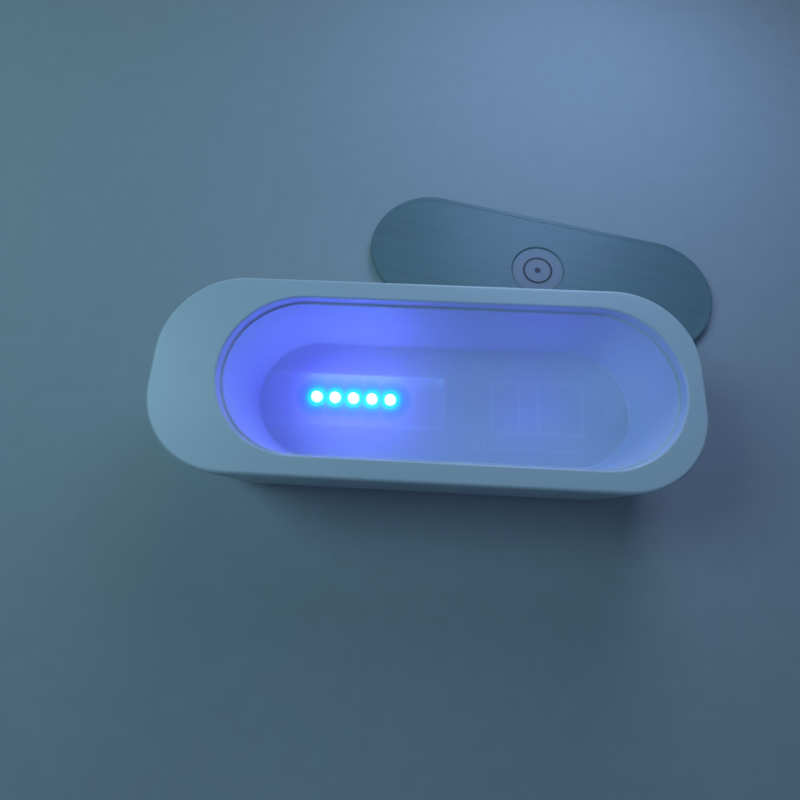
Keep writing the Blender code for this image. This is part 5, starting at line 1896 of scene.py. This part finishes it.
class SANITIZER_OT_leads(Operator):
    """Build the two leads to the LED board and the two to the cell."""

    bl_idname = "sanitizer.leads"
    bl_label = "Leads"

    def execute(self, context):
        red = moulded_plastic(
            "red_insulation", (0.46, 0.02, 0.018), 0.38,
            grain_scale=1800.0, grain_depth=0.02, depth_weight=0.05,
        )
        black = moulded_plastic(
            "black_insulation", (0.018, 0.018, 0.02), 0.4, grain_scale=1800.0, grain_depth=0.02,
        )
        _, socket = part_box("control_connector")
        plug_low, plug_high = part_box("led_connector")
        cell_low, cell_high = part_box("battery_cell")
        start_x = socket.x + 0.3 * MM - TANK_X
        plug_x = plug_low.x - 0.3 * MM - TANK_X
        plug_z = 0.5 * (plug_low.z + plug_high.z)
        cell_x = cell_low.x - 0.3 * MM - TANK_X
        cell_z = 0.5 * (cell_low.z + cell_high.z)
        led_route = [
            (start_x, -8.0 * MM, 12.6 * MM),
            (-112.5 * MM, -8.0 * MM, 11.8 * MM),
            (-105.0 * MM, -8.0 * MM, 10.2 * MM),
            (-98.0 * MM, -8.0 * MM, 10.6 * MM),
            (plug_x, -8.0 * MM, plug_z),
        ]
        cell_route = [
            (start_x, 8.0 * MM, 12.6 * MM),
            (-112.5 * MM, 8.6 * MM, 11.6 * MM),
            (-105.0 * MM, 13.0 * MM, 10.0 * MM),
            (-94.0 * MM, 17.2 * MM, 9.6 * MM),
            (-60.0 * MM, 17.6 * MM, 9.6 * MM),
            (-25.0 * MM, 17.6 * MM, 9.6 * MM),
            (2.0 * MM, 17.4 * MM, 9.6 * MM),
            (12.0 * MM, 12.6 * MM, 9.6 * MM),
            (20.0 * MM, 10.2 * MM, 9.6 * MM),
            (cell_x, 10.0 * MM, cell_z),
        ]
        for kind, insulation, shift in (("positive", red, 0.8 * MM), ("negative", black, -0.8 * MM)):
            for place, route in (("led", led_route), ("battery", cell_route)):
                points = [Vector((TANK_X + x, TANK_Y + y + shift, z)) for x, y, z in route]
                self.lead(f"{place}_lead_{kind}", points, insulation, kind)
        return {"FINISHED"}

    def lead(self, node, points, insulation, kind):
        """A round lead that replaces one CAD node."""
        line = smooth_line(points)
        curve = bpy.data.curves.new(f"insulated_{node}", "CURVE")
        curve.dimensions = "3D"
        curve.bevel_depth = 0.54 * MM
        curve.bevel_resolution = 5
        curve.use_fill_caps = True
        spline = curve.splines.new("POLY")
        spline.points.add(len(line) - 1)
        for spot, point in zip(spline.points, line):
            spot.co = (*point, 1.0)
        curve.materials.append(insulation)
        wire = bpy.data.objects.new(curve.name, curve)
        bpy.context.scene.collection.objects.link(wire)
        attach(wire, BASE)
        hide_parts(node)


# Lid

class SANITIZER_OT_lid(Operator):
    """Build the frosted lid with its fine border line, its dish and its ribbed underside."""

    bl_idname = "sanitizer.lid"
    bl_label = "Lid"

    def execute(self, context):
        housing = context.scene.sanitizer_housing
        settings = context.scene.sanitizer_lid
        low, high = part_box("lid")
        middle = 0.5 * (low + high)
        top = high.z - low.z
        border = 3.2 * MM
        groove = 0.2 * MM
        profile = softened([
            (9.0 * MM, top),
            (border + groove, top, 0.0),
            (border, top - 0.14 * MM, 0.0),
            (border - groove, top, 0.0),
            (settings.edge, top, 0.3 * MM),
            (0.0, top - settings.edge, 0.35 * MM),
            (0.0, 0.0, 0.35 * MM),
            (settings.wall, 0.0, 0.35 * MM),
            (settings.wall, top - settings.plate, 0.5 * MM),
            (9.0 * MM, top - settings.plate),
        ])
        centre = Vector((0.0, 0.0))
        mesh = bmesh.new()
        add_loft(mesh, [
            (mouth_outline(housing, settings.gap + inset, centre), height) for inset, height in profile
        ])
        lid = new_object(mesh, "frosted_lid")
        combine(lid, self.ribs(housing, settings, top), "UNION")
        rim = settings.dish
        base = top - settings.dish_depth
        outside, dish_top = rim + 0.3 * MM, top + PAST_FACE
        slope = softened([
            (outside, top),
            (rim - 0.1 * MM, top - 0.15 * MM, 0.3 * MM),
            (rim - settings.dish_depth, base, 0.3 * MM),
            (0.5 * rim, base),
        ], 4)
        above = [(0.0, dish_top), (outside, dish_top), (outside, top + 0.01 * MM)]
        combine(lid, turned("dish", above + slope + [(0.0, base)], DISH_TURN_STEPS))
        place = Matrix.Translation((middle.x, middle.y, low.z)) @ Matrix.Rotation(settings.turn, 4, "Z")
        settle(lid, place)
        install(lid, LID, frosted_plastic(settings.colour, settings.turn), ["lid"])
        even_shading(lid)
        return {"FINISHED"}

    def ribs(self, housing, settings, top):
        """Low ribs across the lid's underside and a ring below the dish."""
        mesh = bmesh.new()
        ceiling = top - settings.plate
        inside_plate = ceiling + 0.5 * MM
        half_width = 0.5 * (HOUSING_HIGH.y - HOUSING_LOW.y)
        half_width -= housing.side_rim + settings.gap + 0.5 * settings.wall
        half_rib = 0.6 * MM
        for x in (-62.0 * MM, -36.0 * MM, 36.0 * MM, 62.0 * MM):
            low = (x - half_rib, -half_width, ceiling - 1.2 * MM)
            add_box(mesh, low, (x + half_rib, half_width, inside_plate))
        steps = WIDE_TURN_STEPS
        outer = circle(settings.dish + 1.0 * MM, steps=steps)
        inner = circle(settings.dish - 0.4 * MM, steps=steps)
        bottom = ceiling - 1.0 * MM
        rings = ((inner, bottom), (outer, bottom), (outer, inside_plate), (inner, inside_plate))
        loops = [[mesh.verts.new((x, y, z)) for x, y in points] for points, z in rings]
        for first, second in zip(loops, loops[1:] + loops[:1]):
            for index in range(steps):
                following = (index + 1) % steps
                mesh.faces.new((first[index], first[following], second[following], second[index]))
        return new_object(mesh, "lid_ribs")


class SANITIZER_OT_badge(Operator):
    """Build the pale disc in the lid's dish and the plain mark printed on it."""

    bl_idname = "sanitizer.badge"
    bl_label = "Badge"

    def execute(self, context):
        settings = context.scene.sanitizer_lid
        _, lid_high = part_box("lid")
        low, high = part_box("lid_badge")
        middle = 0.5 * (low + high)
        floor = lid_high.z - settings.dish_depth
        radius = settings.dish - settings.dish_depth - 0.4 * MM
        pale = moulded_plastic("pale_disc", (0.27, 0.3, 0.35), 0.35, grain_scale=2200.0, grain_depth=0.01)
        disc_top, disc_base = 0.12 * MM, 0.02 * MM
        disc = turned("badge_disc", [
            (0.0, disc_top), (radius - 0.1 * MM, disc_top), (radius, disc_base), (0.0, disc_base),
        ], DISH_TURN_STEPS)
        settle(disc, Matrix.Translation((middle.x, middle.y, floor)))
        install(disc, LID, pale)
        ink = moulded_plastic("black_ink", settings.ink, 0.4, grain_scale=2400.0, grain_depth=0.01)
        outer = 0.5 * (high.x - low.x)
        inner = outer - 1.2 * MM
        base = floor + 0.13 * MM - low.z
        top = base + 0.08 * MM
        place = Matrix.Translation((middle.x, middle.y, low.z))
        ring_profile = [(inner, top), (outer, top), (outer, base), (inner, base), (inner, top)]
        ring = turned("badge_ring", ring_profile, DISH_TURN_STEPS)
        settle(ring, place)
        install(ring, LID, ink, ["lid_badge"])
        dot_radius = 1.7 * MM
        dot = turned("badge_dot", [(0.0, top), (dot_radius, top), (dot_radius, base), (0.0, base)])
        settle(dot, place)
        install(dot, LID, ink)
        return {"FINISHED"}


# Stage

class SANITIZER_OT_stage(Operator):
    """Set up the floor, the studio lights, the light of the LEDs and the camera."""

    bl_idname = "sanitizer.stage"
    bl_label = "Stage"

    def execute(self, context):
        settings = context.scene.sanitizer_stage
        self.add_floor(settings)
        self.add_world()
        middle = 0.5 * (CAD_LOW + CAD_HIGH)
        # Name, place from the middle of the model, diameter, power and colour
        studio = (
            ("side_light", (-0.6, 0.1, 0.6), 0.4, 1.65, settings.daylight),
            ("window_light", (0.1, 0.24, 0.2), 0.2, 0.42, settings.shade),
            ("back_light", (0.2, 1.6, 0.5), 0.8, 3.0, settings.lamp),
            ("front_light", (0.3, -1.0, 1.75), 1.0, 3.8, settings.shade),
        )
        for name, offset, size, power, colour in studio:
            light = self.add_light(name, "AREA", middle + Vector(offset), power, colour)
            light.data.shape = "DISK"
            light.data.size = size
            light.rotation_mode = "QUATERNION"
            light.rotation_quaternion = Vector(offset).to_track_quat("Z", "Y")
        self.add_led_lights(context)
        self.add_camera(context, settings)
        context.scene.view_settings.view_transform = "Standard"
        return {"FINISHED"}

    def add_floor(self, settings):
        """A wide pale floor just below the feet."""
        mesh = bmesh.new()
        bmesh.ops.create_grid(mesh, x_segments=1, y_segments=1, size=4.0)
        data = bpy.data.meshes.new("floor")
        mesh.to_mesh(data)
        mesh.free()
        floor = bpy.data.objects.new("floor", data)
        floor.location = (0.0, 0.0, -0.1 * MM)
        bpy.context.scene.collection.objects.link(floor)
        data.materials.append(moulded_plastic(
            "pale_floor", settings.floor, 0.75, grain_scale=700.0, grain_depth=0.05,
        ))

    def add_world(self):
        """Faint even light from all sides, with a paler wall behind the floor."""
        world = bpy.data.worlds.new("pale_room")
        world.use_nodes = True
        nodes = world.node_tree.nodes
        links = world.node_tree.links
        nodes.clear()
        ray = nodes.new("ShaderNodeLightPath")
        ray.label = "Seen directly or as light"
        room = nodes.new("ShaderNodeBackground")
        room.label = "Faint light of the room"
        room.inputs["Color"].default_value = (0.42, 0.74, 1.0, 1.0)
        room.inputs["Strength"].default_value = 0.03
        wall = nodes.new("ShaderNodeBackground")
        wall.label = "Pale wall"
        wall.inputs["Color"].default_value = (0.075, 0.12, 0.155, 1.0)
        mix = nodes.new("ShaderNodeMixShader")
        mix.label = "Wall in view, light elsewhere"
        output = nodes.new("ShaderNodeOutputWorld")
        output.label = "Room"
        links.new(ray.outputs["Is Camera Ray"], mix.inputs["Fac"])
        links.new(room.outputs["Background"], mix.inputs[1])
        links.new(wall.outputs["Background"], mix.inputs[2])
        links.new(mix.outputs["Shader"], output.inputs["Surface"])
        spread((ray,), (room, wall), (mix,), (output,))
        bpy.context.scene.world = world

    def add_light(self, name, kind, place, power, colour):
        """A light of one kind at one place."""
        data = bpy.data.lights.new(name, kind)
        data.energy = power
        data.color = colour
        light = bpy.data.objects.new(name, data)
        light.location = place
        bpy.context.scene.collection.objects.link(light)
        return light

    def add_led_lights(self, context):
        """A small light over each LED, and the glow that fills the right half of the tank."""
        lights = context.scene.sanitizer_lights
        above_led = Vector((0.0, 0.0, 15.0 * MM))
        above_far_floor = Vector((75.0 * MM, 0.0, 13.0 * MM))
        glows = []
        for name, middle in zip(LED_NAMES, LED_MIDDLES):
            tip = Vector((middle.x, middle.y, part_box(name)[1].z))
            glows.append((f"light_{name}", tip + above_led, 2.0 * MM, 1.0))
        glows.append(("tank_glow", glows[-1][1] + above_far_floor, 12.0 * MM, 1.5))
        for name, place, radius, share in glows:
            light = self.add_light(name, "POINT", place, share * lights.power, lights.glow)
            light.data.shadow_soft_size = radius
            light.visible_camera = False

    def add_camera(self, context, settings):
        """The camera above the front edge, turned a little about its own axis."""
        azimuth, elevation, roll = settings.azimuth, settings.elevation, settings.roll
        back = Vector((
            math.sin(azimuth) * math.cos(elevation),
            -math.cos(azimuth) * math.cos(elevation),
            math.sin(elevation),
        ))
        from_tank_middle = Vector((-19.2 * MM, -12.4 * MM, 0.0))
        aim = Vector((TANK_X, TANK_Y, HOUSING_HIGH.z)) + from_tank_middle
        right = (-back).cross(Vector((0.0, 0.0, 1.0))).normalized()
        up = right.cross(-back)
        turned_right = right * math.cos(roll) + up * math.sin(roll)
        turned_up = up * math.cos(roll) - right * math.sin(roll)
        data = bpy.data.cameras.new("camera")
        data.lens = settings.lens
        data.sensor_width = 36.0
        data.shift_x = -0.0027
        data.shift_y = 0.0055
        data.clip_start = 0.01
        data.clip_end = 20.0
        camera = bpy.data.objects.new("camera", data)
        camera.matrix_world = Matrix.Translation(aim + back * settings.distance) @ Matrix((
            (turned_right.x, turned_up.x, back.x, 0.0),
            (turned_right.y, turned_up.y, back.y, 0.0),
            (turned_right.z, turned_up.z, back.z, 0.0),
            (0.0, 0.0, 0.0, 1.0),
        ))
        context.scene.collection.objects.link(camera)
        context.scene.camera = camera


class SANITIZER_PT_panel(Panel):
    """Lists the steps that build the sanitizer."""

    bl_idname = "SANITIZER_PT_panel"
    bl_label = "Sanitizer"
    bl_space_type = "VIEW_3D"
    bl_region_type = "UI"
    bl_category = "Sanitizer"

    def draw(self, context):
        layout = self.layout
        for settings in (
            context.scene.sanitizer_housing,
            context.scene.sanitizer_lights,
            context.scene.sanitizer_lid,
            context.scene.sanitizer_stage,
        ):
            box = layout.box()
            for name in settings.bl_rna.properties.keys():
                if name not in {"rna_type", "name"}:
                    box.prop(settings, name)
        for operator in OPERATORS:
            layout.operator(operator.bl_idname)


SETTINGS = (HousingSettings, LightSettings, LidSettings, StageSettings)
OPERATORS = (
    SANITIZER_OT_housing,
    SANITIZER_OT_cover,
    SANITIZER_OT_feet,
    SANITIZER_OT_screws,
    SANITIZER_OT_leds,
    SANITIZER_OT_led_board,
    SANITIZER_OT_control_board,
    SANITIZER_OT_socket,
    SANITIZER_OT_button,
    SANITIZER_OT_cell,
    SANITIZER_OT_leads,
    SANITIZER_OT_lid,
    SANITIZER_OT_badge,
    SANITIZER_OT_stage,
)


def register():
    """Register the settings, the operators and the panel."""
    for item in (*SETTINGS, *OPERATORS, SANITIZER_PT_panel):
        bpy.utils.register_class(item)
    bpy.types.Scene.sanitizer_housing = PointerProperty(type=HousingSettings)
    bpy.types.Scene.sanitizer_lights = PointerProperty(type=LightSettings)
    bpy.types.Scene.sanitizer_lid = PointerProperty(type=LidSettings)
    bpy.types.Scene.sanitizer_stage = PointerProperty(type=StageSettings)


def unregister():
    """Remove what register added."""
    del bpy.types.Scene.sanitizer_stage
    del bpy.types.Scene.sanitizer_lid
    del bpy.types.Scene.sanitizer_lights
    del bpy.types.Scene.sanitizer_housing
    for item in reversed((*SETTINGS, *OPERATORS, SANITIZER_PT_panel)):
        bpy.utils.unregister_class(item)


def main():
    """Build every piece in order."""
    register()
    bpy.ops.sanitizer.housing()
    bpy.ops.sanitizer.cover()
    bpy.ops.sanitizer.feet()
    bpy.ops.sanitizer.screws()
    bpy.ops.sanitizer.leds()
    bpy.ops.sanitizer.led_board()
    bpy.ops.sanitizer.control_board()
    bpy.ops.sanitizer.socket()
    bpy.ops.sanitizer.button()
    bpy.ops.sanitizer.cell()
    bpy.ops.sanitizer.leads()
    bpy.ops.sanitizer.lid()
    bpy.ops.sanitizer.badge()
    bpy.ops.sanitizer.stage()


if __name__ == "__main__":
    main()
